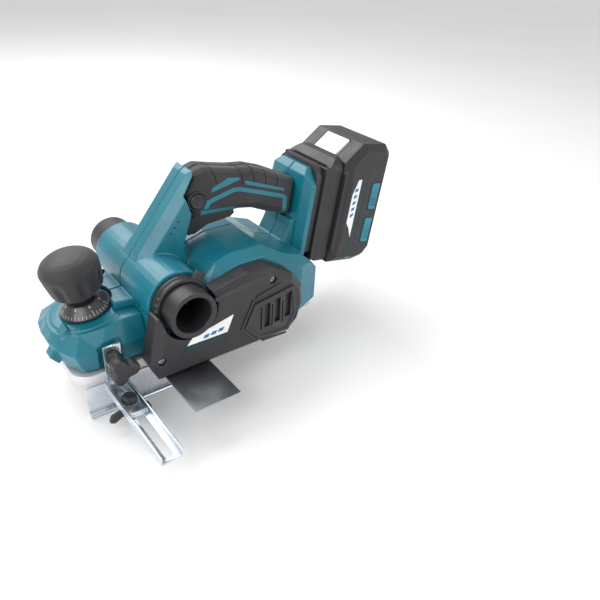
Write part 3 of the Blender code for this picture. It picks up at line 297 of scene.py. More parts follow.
PRINT_GRAIN = 0.00001
TEAL_COLOUR = (0.004, 0.150, 0.205, 1)
BLACK_COLOUR = (0.019, 0.0178, 0.0205, 1)
# The edge factor given to each plastic look sets how strongly its edges carry the painted highlight.
LOOKS = {
    "teal_housing": plastic("teal_plastic", TEAL_COLOUR, 0.36, highlight_gain=0.7, coat=0.1),
    "teal_rubber": rubber("teal_soft", (0.006, 0.155, 0.21, 1), 0.55),
    "black_plastic": plastic("black_moulding", BLACK_COLOUR, 0.46, grain=1100.0, highlight_gain=1.2),
    "black_rubber": rubber("black_soft", (0.0165, 0.0155, 0.0178, 1), 0.62),
    "white_plastic": plastic("white_moulding", (0.82, 0.83, 0.84, 1), 0.3, grain=1400.0,
                             grain_height=0.00002, highlight_gain=0.0, coat=0.3),
    "aluminium": metal("milled_aluminium", (0.66, 0.655, 0.665, 1), 0.42, (40, 1, 40), 60.0, metallic=0.6),
    "brushed_steel": metal("ground_steel", (0.42, 0.44, 0.46, 1), 0.32, (60, 2, 60), 40.0, depth=0.000006),
    "zinc_plate": metal("bright_zinc", (0.66, 0.71, 0.76, 1), 0.26, (30, 1, 30), 40.0, depth=0.000012,
                        spangle=0.25),
    "motor_windings": metal("copper", (0.62, 0.26, 0.12, 1), 0.35, (1, 80, 1), 40.0),
    "cell_sleeve": plastic("shrink_sleeve", (0.05, 0.13, 0.32, 1), 0.3, highlight_gain=0.4, coat=0.4),
}
DIAL_LOOK = metal("dial_black", (0.075, 0.073, 0.078, 1), 0.34, (1, 1, 1), 500.0, metallic=0.55)
INK = plastic("white_ink", (0.8, 0.8, 0.8, 1), 0.4, highlight_gain=0.0, grain_height=PRINT_GRAIN)
LABEL_WHITE = plastic("label_film", (0.83, 0.84, 0.85, 1), 0.26, highlight_gain=0.0, grain_height=PRINT_GRAIN, coat=0.5)
LABEL_GREEN = plastic("label_green", (0.002, 0.024, 0.025, 1), 0.4, highlight_gain=0.0, grain_height=PRINT_GRAIN)
LABEL_BLUE = plastic("label_blue", (0.005, 0.15, 0.36, 1), 0.3, highlight_gain=0.0, grain_height=PRINT_GRAIN)
# Painted shade: flat black for what is only shade in holes and behind slots.
PAINTED_SHADE_BLACK = plastic("shadow_black", (0.006, 0.006, 0.007, 1), 0.7, highlight_gain=0.0)


# ---------------------------------------------------------------- mesh tools

# Softening: voxel in millimetres, rounds of smoothing and the share of triangles kept
SOFT_HOUSING = (0.62, 6, 0.25)
SOFT_NOSE = (0.6, 4, 0.35)
SOFT_GRIP = (0.7, 12, 1.0)
SOFT_SMALL = (0.5, 6, 0.6)
SOFT_COVER = (0.75, 3, 0.5)
SOFT_PACK_FRONT = (0.6, 4, 0.5)
SOFT_PACK_BACK = (0.75, 5, 0.45)
SOFT_BUTTON = (0.45, 6, 0.6)
SMOOTH_FACTOR = 0.5
# The least angle, in degrees, of an edge that a bevel breaks
BEVEL_FROM = 30
# Angles, in degrees, over which a shaded edge stays sharp
SHARP_FILM = 30
SHARP_FITTING = 35
SHARP_TURNED = 40
SHARP_GROOVED = 45
SHARP_KNOB = 28
# Joining a CAD mesh back together: in metres and in radians
WELD_REACH = 0.000002
FLAT_ANGLE = radians(0.6)
# The most of an edge that a rounded corner may use up
ROUND_SHARE = 0.45
LEAST_RADIUS = 0.01


def link(name, mesh):
    made = bpy.data.objects.new(name, mesh)
    bpy.context.scene.collection.objects.link(made)
    return made


def from_builder(name, builder):
    bmesh.ops.recalc_face_normals(builder, faces=builder.faces)
    mesh = bpy.data.meshes.new(name)
    builder.to_mesh(mesh)
    builder.free()
    return link(name, mesh)


def loft(name, rings):
    """A closed body through the rings, which all have the same number of points."""
    builder = bmesh.new()
    rows = [[builder.verts.new(Vector(point) * MM) for point in ring] for ring in rings]
    count = len(rows[0])
    for low, high in zip(rows, rows[1:]):
        for index in range(count):
            after = (index + 1) % count
            builder.faces.new((low[index], low[after], high[after], high[index]))
    builder.faces.new(rows[0][::-1])
    builder.faces.new(rows[-1])
    return from_builder(name, builder)


def mirrored(side, reach):
    """The two distances from the middle plane in reach, laid out on the given side."""
    return sorted((reach[0] * side, reach[1] * side))


def side_prism(name, outline, y_low, y_high):
    return loft(name, [[(x, y, z) for x, z in outline] for y in (y_low, y_high)])


def pack_point(w, y, u):
    """A point in the pack's leaning frame: w out from the rail, y across, u up along it."""
    return (PACK[0] + w * cos(PACK_LEAN) + u * sin(PACK_LEAN), y,
            PACK[1] - w * sin(PACK_LEAN) + u * cos(PACK_LEAN))


def pack_prism(name, outline, y_low, y_high):
    return loft(name, [[pack_point(w, y, u) for w, u in outline] for y in (y_low, y_high)])


def circle(centre, radius, count=48, start=0.0, sweep=2 * pi):
    steps = count if sweep >= 2 * pi else count - 1
    return [(centre[0] + radius * cos(start + sweep * k / steps),
             centre[1] + radius * sin(start + sweep * k / steps)) for k in range(count)]


def turned(name, profile, place, segments=96, shape=None):
    """A closed (radius, height) profile spun round Z; shape(angle, radius, height) may bend it."""
    builder = bmesh.new()
    columns = []
    for radius, height in profile:
        if radius == 0:
            columns.append([builder.verts.new(place @ Vector((0, 0, height)) * MM)])
            continue
        ring = []
        for index in range(segments):
            angle = 2 * pi * index / segments
            size = shape(angle, radius, height) if shape else radius
            point = Vector((size * cos(angle), size * sin(angle), height))
            ring.append(builder.verts.new(place @ point * MM))
        columns.append(ring)
    for low, high in zip(columns, columns[1:] + columns[:1]):
        if len(low) == 1 and len(high) == 1:
            continue
        for index in range(segments):
            after = (index + 1) % segments
            if len(low) == 1:
                builder.faces.new((low[0], high[after], high[index]))
            elif len(high) == 1:
                builder.faces.new((low[index], low[after], high[0]))
            else:
                builder.faces.new((low[index], low[after], high[after], high[index]))
    return from_builder(name, builder)


def rounded(profile, radius=0.6, steps=4):
    """The profile with its corners off the axis rounded, as a moulding's are."""
    made = []
    count = len(profile)
    for index, point in enumerate(profile):
        here = Vector(point)
        before = Vector(profile[index - 1])
        after = Vector(profile[(index + 1) % count])
        if point[0] == 0:
            made.append(point)
            continue
        reach = min(radius, (here - before).length * ROUND_SHARE, (after - here).length * ROUND_SHARE)
        start = here + (before - here).normalized() * reach
        end = here + (after - here).normalized() * reach
        for step in range(steps + 1):
            t = step / steps
            spot = start * (1 - t) ** 2 + here * 2 * t * (1 - t) + end * t ** 2
            made.append((max(spot.x, LEAST_RADIUS), spot.y))
    return made


def along_y(x, z):
    """A place whose own Z runs along the machine's Y."""
    return Matrix.Translation((x, 0, z)) @ Matrix.Rotation(-pi / 2, 4, "X")


def knob_place():
    """The foot of the leaning knob's axis."""
    return Matrix.Translation((KNOB[0], 0, KNOB[1])) @ Matrix.Rotation(-KNOB_LEAN, 4, "Y")


def cad_copy(name, node_name):
    """A new object with the CAD node's shape, its triangles joined back into flat faces."""
    builder = bmesh.new()
    builder.from_mesh(NODES[node_name].data)
    bmesh.ops.remove_doubles(builder, verts=builder.verts, dist=WELD_REACH)
    bmesh.ops.dissolve_limit(builder, angle_limit=FLAT_ANGLE, verts=builder.verts, edges=builder.edges)
    for layer in list(builder.loops.layers.uv):
        builder.loops.layers.uv.remove(layer)
    mesh = bpy.data.meshes.new(name)
    builder.to_mesh(mesh)
    builder.free()
    mesh.materials.clear()
    return link(name, mesh)


def bake(target):
    """Applies the target's modifiers."""
    bpy.context.view_layer.update()
    graph = bpy.context.evaluated_depsgraph_get()
    mesh = bpy.data.meshes.new_from_object(target.evaluated_get(graph))
    target.modifiers.clear()
    target.data = mesh
    return target


def apply_boolean(target, tool, operation):
    modifier = target.modifiers.new("boolean", "BOOLEAN")
    modifier.operation = operation
    modifier.solver = "EXACT"
    modifier.object = tool
    bake(target)


def boolean(target, tools, operation):
    """Applies each tool in turn and removes it."""
    for tool in tools:
        apply_boolean(target, tool, operation)
        bpy.data.objects.remove(tool, do_unlink=True)


def offset_copy(source, distance):
    """A copy with its surface moved outwards by distance, in millimetres."""
    made = link("offset_copy", source.data.copy())
    push = made.modifiers.new("push", "DISPLACE")
    push.strength = distance * MM
    push.mid_level = 0.0
    return bake(made)


def soften(target, voxel, rounds, keep):
    """Gives a hard solid the soft edges and blends of a moulding."""
    remesh = target.modifiers.new("remesh", "REMESH")
    remesh.mode = "VOXEL"
    remesh.voxel_size = voxel * MM
    smooth = target.modifiers.new("smooth", "SMOOTH")
    smooth.factor = SMOOTH_FACTOR
    smooth.iterations = rounds
    if keep < 1:
        decimate = target.modifiers.new("decimate", "DECIMATE")
        decimate.ratio = keep
    bake(target)
    target.data.shade_smooth()
    return target


def bevel(target, width, segments=2):
    modifier = target.modifiers.new("bevel", "BEVEL")
    modifier.width = width * MM
    modifier.segments = segments
    modifier.limit_method = "ANGLE"
    modifier.angle_limit = radians(BEVEL_FROM)
    modifier.use_clamp_overlap = True
    target.data.shade_smooth()
    modifier.harden_normals = True
    return bake(target)


def dress(target, body, slot, look=None, nodes=(), smooth=None):
    """Material, body, slot and the CAD nodes that the piece stands for."""
    target.data.materials.clear()
    target.data.materials.append(look or LOOKS[slot])
    if smooth is not None:
        target.data.shade_smooth()
        target.data.set_sharp_from_angle(angle=radians(smooth))
    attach(target, body)
    if nodes:
        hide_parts(*nodes)
    return target


# ---------------------------------------------------------------- housing

COLUMN_FILL = [(-66, 82), (-34.3, 122), (-40, 108), (-46, 84)]
COLUMN_FILL_Y = (0.2, 14.0)
COLUMN_TOP_TRIM = [(-20.6, 146), (-8, 146), (-8, 137.5), (-23.6, 137.5)]
COLUMN_TOP_TRIM_Y = (-1, 25)
COLUMN_PITS = ((-47.2, 96.6), (-43.6, 100.8), (-40.0, 105.0))
COLUMN_PIT_Y = (-19.1, -18.0)
COLUMN_PIT_R = 1.3
COLUMN_PIT_SIDES = 3
COLUMN_PIT_TURN = 0.4
COLUMN_PIT_EDGE = 0.15
FLANGE_CORNERS = (((31, 82), (31, 66), (17, 82)), ((31, 90), (25, 90), (31, 60)))
FLANGE_W = (-14, 0.6)
NOSE_STRAP = [
    [(-152, -19, 20), (-152, -9, 20), (-136, -9, 42.6), (-136, -19, 42.0)],
    [(-146, -19, 12), (-146, -9, 12), (-131, -9, 30), (-131, -19, 30)]]
DIAL_GROOVE = [(25.2, -1.4), (26.0, -1.4), (26.0, 4), (25.2, 4)]


def make_housings():
    for side, label in SIDES:
        node_name = label + "_housing"
        shell = cad_copy("housing_" + label, node_name)
        boolean(shell, [side_prism("fill", COLUMN_FILL, *mirrored(side, COLUMN_FILL_Y))], "UNION")
        cuts = [side_prism("tongue", COLUMN_TOP_TRIM, *mirrored(side, COLUMN_TOP_TRIM_Y))]
        for corner in FLANGE_CORNERS:
            cuts.append(loft("corner", [[pack_point(w, y * side, u) for y, u in corner] for w in FLANGE_W]))
        boolean(shell, cuts, "DIFFERENCE")
        soften(shell, *SOFT_HOUSING)
        dress(shell, "machine", "teal_housing", nodes=[node_name])
    # The column pits are flat black triangles: painted shade in place of recesses.
    for number, centre in enumerate(COLUMN_PITS, 1):
        outline = circle(centre, COLUMN_PIT_R, COLUMN_PIT_SIDES, COLUMN_PIT_TURN)
        pit = side_prism("column_pit_%d" % number, outline, *COLUMN_PIT_Y)
        bevel(pit, COLUMN_PIT_EDGE)
        dress(pit, "machine", "black_plastic", look=PAINTED_SHADE_BLACK)


def make_knob_housing():
    body = cad_copy("nose_housing", "knob_housing")
    boolean(body, [loft("strap", NOSE_STRAP)], "UNION")
    boolean(body, [turned("ring_groove", DIAL_GROOVE, knob_place())], "DIFFERENCE")
    soften(body, *SOFT_NOSE)
    dress(body, "machine", "teal_housing", nodes=["knob_housing"])


# ---------------------------------------------------------------- grip

INLAYS = [
    [(-9.2, 121.4), (-7.3, 125.2), (7.0, 130.3), (17.2, 128.6), (18.0, 127.2), (3.2, 123.9)],
    [(22.8, 124.8), (25.8, 124.5), (62.5, 110.6), (62.6, 108.2), (23.4, 121.9)],
    [(-16.3, 108.6), (-13.2, 115.4), (11.1, 121.2), (18.3, 120.6), (62.4, 105.4), (66.0, 102.3),
     (66.0, 88.3), (62.0, 88.3), (61.6, 101.7), (18.3, 117.0), (12.3, 117.6), (-9.4, 112.6), (-11.7, 108.6)],
    [(-18.5, 107.6), (10.4, 105.2), (15.4, 103.6), (11.8, 102.0), (-18.6, 103.6)],
]
INLAY_Y = (21, 9)
INLAY_PROUD = 0.28
# x, z and lean of each groove over the grip
GRIP_RINGS = ((-4, 128, 0.16), (20, 122, -0.06), (31, 120, -0.12), (42, 116, -0.28), (53, 111, -0.42))
RING_HALF = 0.5
RING_REACH = 26
RING_DEPTH = 0.6
RING_Y = (22, -1)
LOCK_OFF_PROFILE = [(0, -7), (6.3, -7), (6.3, -17.6), (5.4, -18.7), (3.6, -18.2), (0, -18.0)]
LOCK_OFF_ROUND = 0.5
LOCK_OFF_COLLAR_ROUND = 0.4
LOCK_OFF_COLLAR = [(6.7, -14.5), (8.2, -14.5), (7.8, -17.0), (6.7, -17.0)]


def ring_outline(x, z, lean):
    """Side view of a thin groove over the top of the grip, square to its line."""
    along = Vector((cos(lean), sin(lean)))
    up = Vector((-along.y, along.x))
    outline = []
    for a, b in ((-RING_HALF, 0), (RING_HALF, 0), (RING_HALF, RING_REACH), (-RING_HALF, RING_REACH)):
        point = Vector((x, z)) + along * a + up * b
        outline.append((point.x, point.y))
    return outline


def make_grips():
    for side, label in SIDES:
        node_name = "grip_" + label
        grip = soften(cad_copy("grip_half_" + label, node_name), *SOFT_GRIP)
        swollen = offset_copy(grip, INLAY_PROUD)
        for number, outline in enumerate(INLAYS, 1):
            piece = side_prism("grip_inlay_%s_%d" % (label, number), outline, *mirrored(side, INLAY_Y))
            apply_boolean(piece, swollen, "INTERSECT")
            dress(piece, "machine", "teal_rubber", smooth=SHARP_FITTING)
        bpy.data.objects.remove(swollen, do_unlink=True)
        rings = [side_prism("ring_cut", ring_outline(*ring), *mirrored(side, RING_Y)) for ring in GRIP_RINGS]
        cut_rings(grip, rings)
        dress(grip, "machine", "black_rubber", nodes=[node_name])


def cut_rings(grip, rings):
    """Cuts the rings to RING_DEPTH only, by first taking a shrunken copy of the grip out of them."""
    core = offset_copy(grip, -RING_DEPTH)
    for ring in rings:
        apply_boolean(ring, core, "DIFFERENCE")
    bpy.data.objects.remove(core, do_unlink=True)
    boolean(grip, rings, "DIFFERENCE")
    grip.data.shade_smooth()
    grip.data.set_sharp_from_angle(angle=radians(SHARP_GROOVED))


def make_trigger():
    trigger = soften(cad_copy("trigger_blade", "trigger"), *SOFT_SMALL)
    dress(trigger, "trigger_piece", "black_plastic", nodes=["trigger"])
    button = turned("lock_off_cap", rounded(LOCK_OFF_PROFILE, LOCK_OFF_ROUND), along_y(*LOCK_OFF))
    dress(button, "lock_off", "black_plastic", nodes=["lock_off_button"], smooth=SHARP_TURNED)
    profile = rounded(LOCK_OFF_COLLAR, LOCK_OFF_COLLAR_ROUND)
    collar = turned("lock_off_collar", profile, along_y(*LOCK_OFF))
    dress(collar, "machine", "black_plastic", smooth=SHARP_TURNED)


# ---------------------------------------------------------------- belt cover

VENT_OUTER = [(-14.1, 26.3), (-4.8, 45.9), (33.5, 52.0), (38.4, 24.1), (29.5, 9.2), (0.8, 10.3)]
VENT_INNER = [(-10.9, 26.6), (-2.4, 42.9), (31.2, 48.2), (34.9, 25.2), (27.8, 12.6), (2.4, 13.6)]
CREASE_HIGH = [(-86, 13.2), (-56, 11.4), (-56, 10.4), (-86, 12.2)]
CREASE_LOW = [(-69, 21), (-84, 13.4), (-84, 12.4), (-68, 20)]
# x, width, low end and high end of each slot that goes through the grille
VENT_SLOTS = ((5.0, 5.4, 20.5, 42.4), (15.2, 5.4, 22.0, 44.0), (25.6, 5.8, 23.6, 45.8))
SLOT_RISE = 0.8
THIN_SLOTS = (1.0, 12.0, 22.4)
THIN_SLOT_WIDTH = 1.2
THIN_SLOT_Z = (19.0, 41.0)
CHEVRONS = [
    ("chevron_left", [(-17.6, 26.2), (-16.0, 29.6), (-6.6, 49.4), (-4.4, 49.7), (-15.2, 26.2),
                      (-1.4, 8.8), (-3.6, 9.0)]),
    ("chevron_top", [(-3.7, 50.4), (-2.6, 52.6), (20.6, 58.2), (22.4, 56.6)]),
    ("chevron_low", [(1.8, 8.7), (28.6, 7.2), (27.4, 5.6), (3.2, 6.6)]),
]
TOP_RIDGE = [(-40, 60.4), (-8, 65.6), (8, 66.8), (8, 68.2), (-9, 67.8), (-40, 62.6)]
LABEL_FIELD = [(-24.2, 43.6), (-30.0, 29.2), (-65.6, 29.5), (-60.4, 35.4)]
LABEL_BAND = [(-30.1, 28.9), (-31.8, 25.2), (-68.9, 23.2), (-66.0, 29.2)]
LABEL_STRIPES = ((-52.0, 31.0), (-45.5, 31.6), (-39.0, 32.3))
LABEL_STRIPE = ((0, 0), (4.6, 0), (6.4, 3.0), (1.8, 3.0))
COVER_SCREWS = ((14, 62), (38, 20), (-86, 22))
SCREW_PROFILE = [(0, -69.9), (2.6, -69.9), (2.9, -69.2), (2.9, -67.9), (1.7, -66.9), (0, -66.9)]
CROSS_TURN = 0.4
CROSS_BAR = ((-1.7, -0.3), (1.7, -0.3), (1.7, 0.3), (-1.7, 0.3))

# How far out from the middle plane each layer of the cover lies
CREASE_Y = (-74, -72.0)
RECESS_Y = (-77, -70.4)
RIM_Y = (-74.3, -71.5)
RIM_HOLE_Y = (-76, -70)
BED_Y = (-70.7, -70.2)
GRILLE_Y = (-73.6, -70.6)
SLOT_Y = (-75, -70.9)
THIN_SLOT_Y = (-75, -72.4)
CHEVRON_Y = (-73.6, -72.2)
RIDGE_Y = (-73.0, -71.0)
FILM_Y = (-72.75, -72.3)
STRIPE_Y = (-72.85, -72.4)
CROSS_Y = (-71, -69.0)
TRIM_EDGE = 0.4
RIM_EDGE = 0.5
GRILLE_EDGE = 0.35
SCREW_ROUND = 0.25
SCREW_SEGMENTS = 40


def cover_moulding(name, outline, depth):
    dress(bevel(side_prism(name, outline, *depth), TRIM_EDGE), "machine", "black_plastic")


def cover_film(name, outline, depth, look):
    dress(side_prism(name, outline, *depth), "machine", "black_plastic", look=look, smooth=SHARP_FILM)


def make_vent():
    rim = side_prism("vent_rim", VENT_OUTER, *RIM_Y)
    boolean(rim, [side_prism("hole", VENT_INNER, *RIM_HOLE_Y)], "DIFFERENCE")
    bevel(rim, RIM_EDGE)
    dress(rim, "machine", "black_plastic")
    # Painted shade: a black sheet behind the grille stands in for the shade inside the vent.
    cover_film("vent_shade_sheet", VENT_INNER, BED_Y, PAINTED_SHADE_BLACK)
    grille = side_prism("vent_grille", VENT_INNER, *GRILLE_Y)
    slots = []
    for x, wide, low, top in VENT_SLOTS:
        outline = [(x, low), (x + wide, low), (x + wide, top + SLOT_RISE), (x, top)]
        slots.append(side_prism("slot", outline, *SLOT_Y))
    low, top = THIN_SLOT_Z
    for x in THIN_SLOTS:
        outline = [(x, low), (x + THIN_SLOT_WIDTH, low), (x + THIN_SLOT_WIDTH, top), (x, top)]
        slots.append(side_prism("thin_slot", outline, *THIN_SLOT_Y))
    boolean(grille, slots, "DIFFERENCE")
    bevel(grille, GRILLE_EDGE)
    dress(grille, "machine", "black_plastic")


def make_cover_screws():
    for number, (x, z) in enumerate(COVER_SCREWS, 1):
        profile = rounded(SCREW_PROFILE, SCREW_ROUND)
        head = turned("cover_screw_head_%d" % number, profile, along_y(x, z), SCREW_SEGMENTS)
        bars = []
        for turn in (CROSS_TURN, CROSS_TURN + pi / 2):
            outline = [(x + a * cos(turn) - b * sin(turn), z + a * sin(turn) + b * cos(turn))
                       for a, b in CROSS_BAR]
            bars.append(side_prism("cross", outline, *CROSS_Y))
        boolean(head, bars, "DIFFERENCE")
        dress(head, "machine", "brushed_steel", nodes=["cover_screw_%d" % number], smooth=SHARP_FILM)


def make_belt_cover():
    cover = cad_copy("belt_cover_shell", "belt_cover")
    cuts = [side_prism("crease", CREASE_HIGH, *CREASE_Y), side_prism("vent_recess", VENT_INNER, *RECESS_Y),
            side_prism("crease", CREASE_LOW, *CREASE_Y)]
    boolean(cover, cuts, "DIFFERENCE")
    soften(cover, *SOFT_COVER)
    dress(cover, "machine", "black_plastic", nodes=["belt_cover"])
    make_vent()
    for name, outline in CHEVRONS:
        cover_moulding(name, outline, CHEVRON_Y)
    cover_moulding("cover_top_ridge", TOP_RIDGE, RIDGE_Y)
    cover_film("cover_label", LABEL_FIELD, FILM_Y, LABEL_WHITE)
    cover_film("cover_label_band", LABEL_BAND, FILM_Y, LABEL_GREEN)
    for number, (x, z) in enumerate(LABEL_STRIPES, 1):
        outline = [(x + a, z + b) for a, b in LABEL_STRIPE]
        cover_film("label_stripe_%d" % number, outline, STRIPE_Y, LABEL_BLUE)
    make_cover_screws()


# ---------------------------------------------------------------- outlet

NOZZLE_PROFILE = [(18.2, -44.5), (18.2, -50), (19, -50.3), (19, -76.5), (15.6, -76.5), (14.5, -75.2),
                  (14.5, -44.5)]
LOCK_RING_PROFILE = [(19.3, -50.3), (22, -50.3), (22, -54.6), (21.2, -54.9), (21.2, -55.6), (22, -55.9),
                     (22, -59.2), (21.2, -60), (19.3, -60)]
PLUG_PROFILE = [(18.2, 44.5), (18.2, 50), (22, 50.3), (22, 54), (19.4, 56), (19, 75), (16.6, 78), (0, 78),
                (0, 75), (14.5, 73), (14.5, 44.5)]
TAB_RINGS = [[(-4.2, -59, 20.8), (4.6, -59, 20.8), (4.6, -54.2, 20.8), (-4.2, -54.2, 20.8)],
             [(-4.0, -58.8, 28.9), (4.4, -58.8, 28.9), (4.4, -54.6, 28.9), (-4.0, -54.6, 28.9)]]
TAB_TURN = radians(36)
NOZZLE_ROUND = 0.7
LOCK_RING_ROUND = 0.3
PLUG_ROUND = 0.8
TAB_EDGE = 0.9
TAB_EDGE_STEPS = 3
TOOTH_EDGE = 0.25
TOOTH_SIDES = 16
TEETH = 4
TOOTH_START = 150
TOOTH_STEP = 14
TOOTH_RING_R = 21.6
TOOTH_R = 1.1
TOOTH_Y = (-59.7, -55.9)
DUCT_SEGMENTS = 128


def make_outlet():
    place = along_y(*DUCT)
    nozzle = turned("outlet_nozzle", rounded(NOZZLE_PROFILE, NOZZLE_ROUND), place, DUCT_SEGMENTS)
    dress(nozzle, "nozzle", "black_plastic", nodes=["dust_nozzle"], smooth=SHARP_TURNED)
    profile = rounded(LOCK_RING_PROFILE, LOCK_RING_ROUND)
    ring = turned("lock_ring_band", profile, place, DUCT_SEGMENTS)
    dress(ring, "lock_ring", "black_plastic", nodes=["nozzle_lock_ring"], smooth=SHARP_TURNED)
    turn = Matrix.Translation((DUCT[0] * MM, 0, DUCT[1] * MM)) @ Matrix.Rotation(TAB_TURN, 4, "Y")
    tab = loft("lock_ring_tab", TAB_RINGS)
    tab.data.transform(turn)
    bevel(tab, TAB_EDGE, TAB_EDGE_STEPS)
    dress(tab, "lock_ring", "black_plastic")
    for index in range(TEETH):
        angle = radians(TOOTH_START + TOOTH_STEP * index)
        centre = (DUCT[0] + TOOTH_RING_R * cos(angle), DUCT[1] + TOOTH_RING_R * sin(angle))
        tooth = side_prism("lock_ring_tooth_%d" % (index + 1), circle(centre, TOOTH_R, TOOTH_SIDES), *TOOTH_Y)
        bevel(tooth, TOOTH_EDGE)
        dress(tooth, "lock_ring", "black_plastic")
    plug = turned("duct_end_plug", rounded(PLUG_PROFILE, PLUG_ROUND), place, DUCT_SEGMENTS)
    dress(plug, "plug", "black_plastic", nodes=["duct_plug"], smooth=SHARP_TURNED)


# ---------------------------------------------------------------- depth knob

KNOB_PROFILE = [
    (4.3, 9.3), (8.6, 9.3), (8.4, 13), (8.4, 16.6), (14, 17.0), (17.8, 17.8), (19.6, 19.4), (20.4, 21.5),
    (21.0, 24), (21.5, 27), (21.9, 30), (22.2, 33), (22.4, 35.5), (22.5, 37.8), (22.4, 39.6),
    (21.6, 41.6), (19.6, 44.2), (16.5, 46.3), (12.5, 47.8), (7, 48.7), (0, 49.0), (0, 23), (4.3, 23)]
NECK_RING_PROFILE = [(8.4, 13.4), (9.1, 13.4), (9.1, 14.2), (8.4, 14.2)]
DIAL_PROFILE = [(4.3, 0), (19.6, 0), (20, 0.4), (20, 1.5), (12.5, 9), (4.3, 9)]
FLUTES = 8
FLUTE_HEIGHTS = (19.0, 38.0)
FLUTE_DEPTH = 2.0
FLUTE_MIN_R = 12
FLUTE_SHARPNESS = 1.2
FLUTE_SWEEP = (0.12, 0.88)
FLUTE_FADE = 0.7
KNOB_ROUND = 0.5
KNOB_ROUND_STEPS = 2
KNOB_SEGMENTS = 160
NECK_RING_ROUND = 0.2
NECK_RING_SEGMENTS = 64
DIAL_ROUND = 0.3
DIAL_SEGMENTS = 144
DIAL_R = 20
DIAL_RIM = 1.5
DIAL_SLOPE = radians(45)
TICKS = 40
TICKS_PER_LONG = 5
TICK_OUTER = 19.5
TICK_INNER_LONG = 16.2
TICK_INNER_SHORT = 17.8
TICK_HALF = 0.11
TICK_LIFT = 0.02
TICK_LAYERS = (-0.12, 0.06)
FIGURES = 8
FIGURE_R = 14.0
FIGURE_SIZE = 3.0
FIGURE_EXTRUDE = 0.06
FIGURE_LIFT = 0.05


def flute(angle, radius, height):
    """The knob's radius where the finger flutes are pressed into it."""
    low, high = FLUTE_HEIGHTS
    if height < low or height > high or radius < FLUTE_MIN_R:
        return radius
    t = (height - low) / (high - low)
    lobe = max(0.0, cos(FLUTES * angle)) ** FLUTE_SHARPNESS
    start, span = FLUTE_SWEEP
    return radius - FLUTE_DEPTH * lobe * sin(pi * (start + span * t)) ** FLUTE_FADE


def dial_height(radius):
    return DIAL_RIM + (DIAL_R - radius)


def make_ticks(place):
    builder = bmesh.new()
    for index in range(TICKS):
        angle = 2 * pi * index / TICKS
        inner = TICK_INNER_SHORT if index % TICKS_PER_LONG else TICK_INNER_LONG
        corners = ((inner, -TICK_HALF), (TICK_OUTER, -TICK_HALF), (TICK_OUTER, TICK_HALF), (inner, TICK_HALF))
        rings = []
        for lift in TICK_LAYERS:
            ring = []
            for radius, offset in corners:
                height = dial_height(radius) + TICK_LIFT
                point = Vector((radius * cos(angle) - offset * sin(angle),
                                radius * sin(angle) + offset * cos(angle), height + lift))
                ring.append(builder.verts.new(place @ point * MM))
            rings.append(ring)
        for k in range(4):
            after = (k + 1) % 4
            builder.faces.new((rings[0][k], rings[0][after], rings[1][after], rings[1][k]))
        builder.faces.new(rings[0][::-1])
        builder.faces.new(rings[1])
    dress(from_builder("dial_ticks", builder), "knob", "black_plastic", look=INK)


def make_figure(index, place):
    """One raised number on the dial's cone, read from outside."""
    angle = 2 * pi * index / FIGURES
    text = bpy.data.curves.new("dial_number", "FONT")
    text.body = str(index)
    text.size = FIGURE_SIZE * MM
    text.extrude = FIGURE_EXTRUDE * MM
    text.align_x = "CENTER"
    text.align_y = "CENTER"
    source = link("dial_number_source", text)
    turn = Matrix.Rotation(angle + pi / 2, 4, "Z") @ Matrix.Rotation(DIAL_SLOPE, 4, "X")
    spot = Vector((FIGURE_R * cos(angle), FIGURE_R * sin(angle), dial_height(FIGURE_R) + FIGURE_LIFT))
    placed = Matrix.Scale(MM, 4) @ place @ Matrix.Translation(spot) @ Matrix.Scale(1 / MM, 4)
    graph = bpy.context.evaluated_depsgraph_get()
    mesh = bpy.data.meshes.new_from_object(source.evaluated_get(graph))
    mesh.transform(placed @ turn)
    bpy.data.objects.remove(source, do_unlink=True)
    dress(link("dial_number_%d" % index, mesh), "knob", "black_plastic", look=INK)


def make_knob():
    place = knob_place()
    profile = rounded(KNOB_PROFILE, KNOB_ROUND, KNOB_ROUND_STEPS)
    head = turned("knob_head", profile, place, KNOB_SEGMENTS, flute)
    dress(head, "knob", "black_rubber", nodes=["depth_knob"], smooth=SHARP_KNOB)
    profile = rounded(NECK_RING_PROFILE, NECK_RING_ROUND)
    collar = turned("knob_neck_ring", profile, place, NECK_RING_SEGMENTS)
    dress(collar, "knob", "black_plastic", smooth=SHARP_TURNED)
    dial = turned("dial_cone", rounded(DIAL_PROFILE, DIAL_ROUND), place, DIAL_SEGMENTS)
    dress(dial, "knob", "black_plastic", look=DIAL_LOOK, nodes=["depth_dial"], smooth=SHARP_TURNED)
    make_ticks(place)
    for index in range(FIGURES):
        make_figure(index, place)


# ---------------------------------------------------------------- battery

# Outlines across the pack's side, as distance from the rail and height along it
PACK_STEP = [(27.3, 4), (27.3, 78), (34.5, 86), (34.5, 0)]
PACK_RELIEF = [(33.6, 8), (33.6, 74), (35.2, 74), (35.2, 8)]
STRIP_ROOM = [(37.4, 2), (37.4, 79), (52.6, 79), (52.6, 2)]
PACK_LABEL = [(46.2, 74), (46.2, 18), (41.8, 28), (38.0, 33), (38.0, 60), (42.6, 74)]
PACK_STRIP = [(46.4, 75), (52.0, 75), (52.0, 0), (46.4, 0)]
STRIP_FOOT = [(46.4, -0.2), (52.0, -0.2), (52.0, -4.2), (46.4, -4.2)]
PACK_MARK = ((40.4, 0), (43.9, 1.5), (43.9, 4.4), (40.4, 2.9))
PACK_MARKS = (38, 44, 50, 56, 62)
RIBS = 7
RIB_START = 50.5
RIB_STEP = 3.6
RIB_WIDTH = 1.3
RIB_U = (104.2, 107)
RIB_Y = (-28, 28)
PADS = ((-1, 45, 70), (-1, 12, 36), (1, 45, 70), (1, 12, 36))
PAD_CHAMFER = 1.5
PAD_W = (61.2, 62.4, 70)
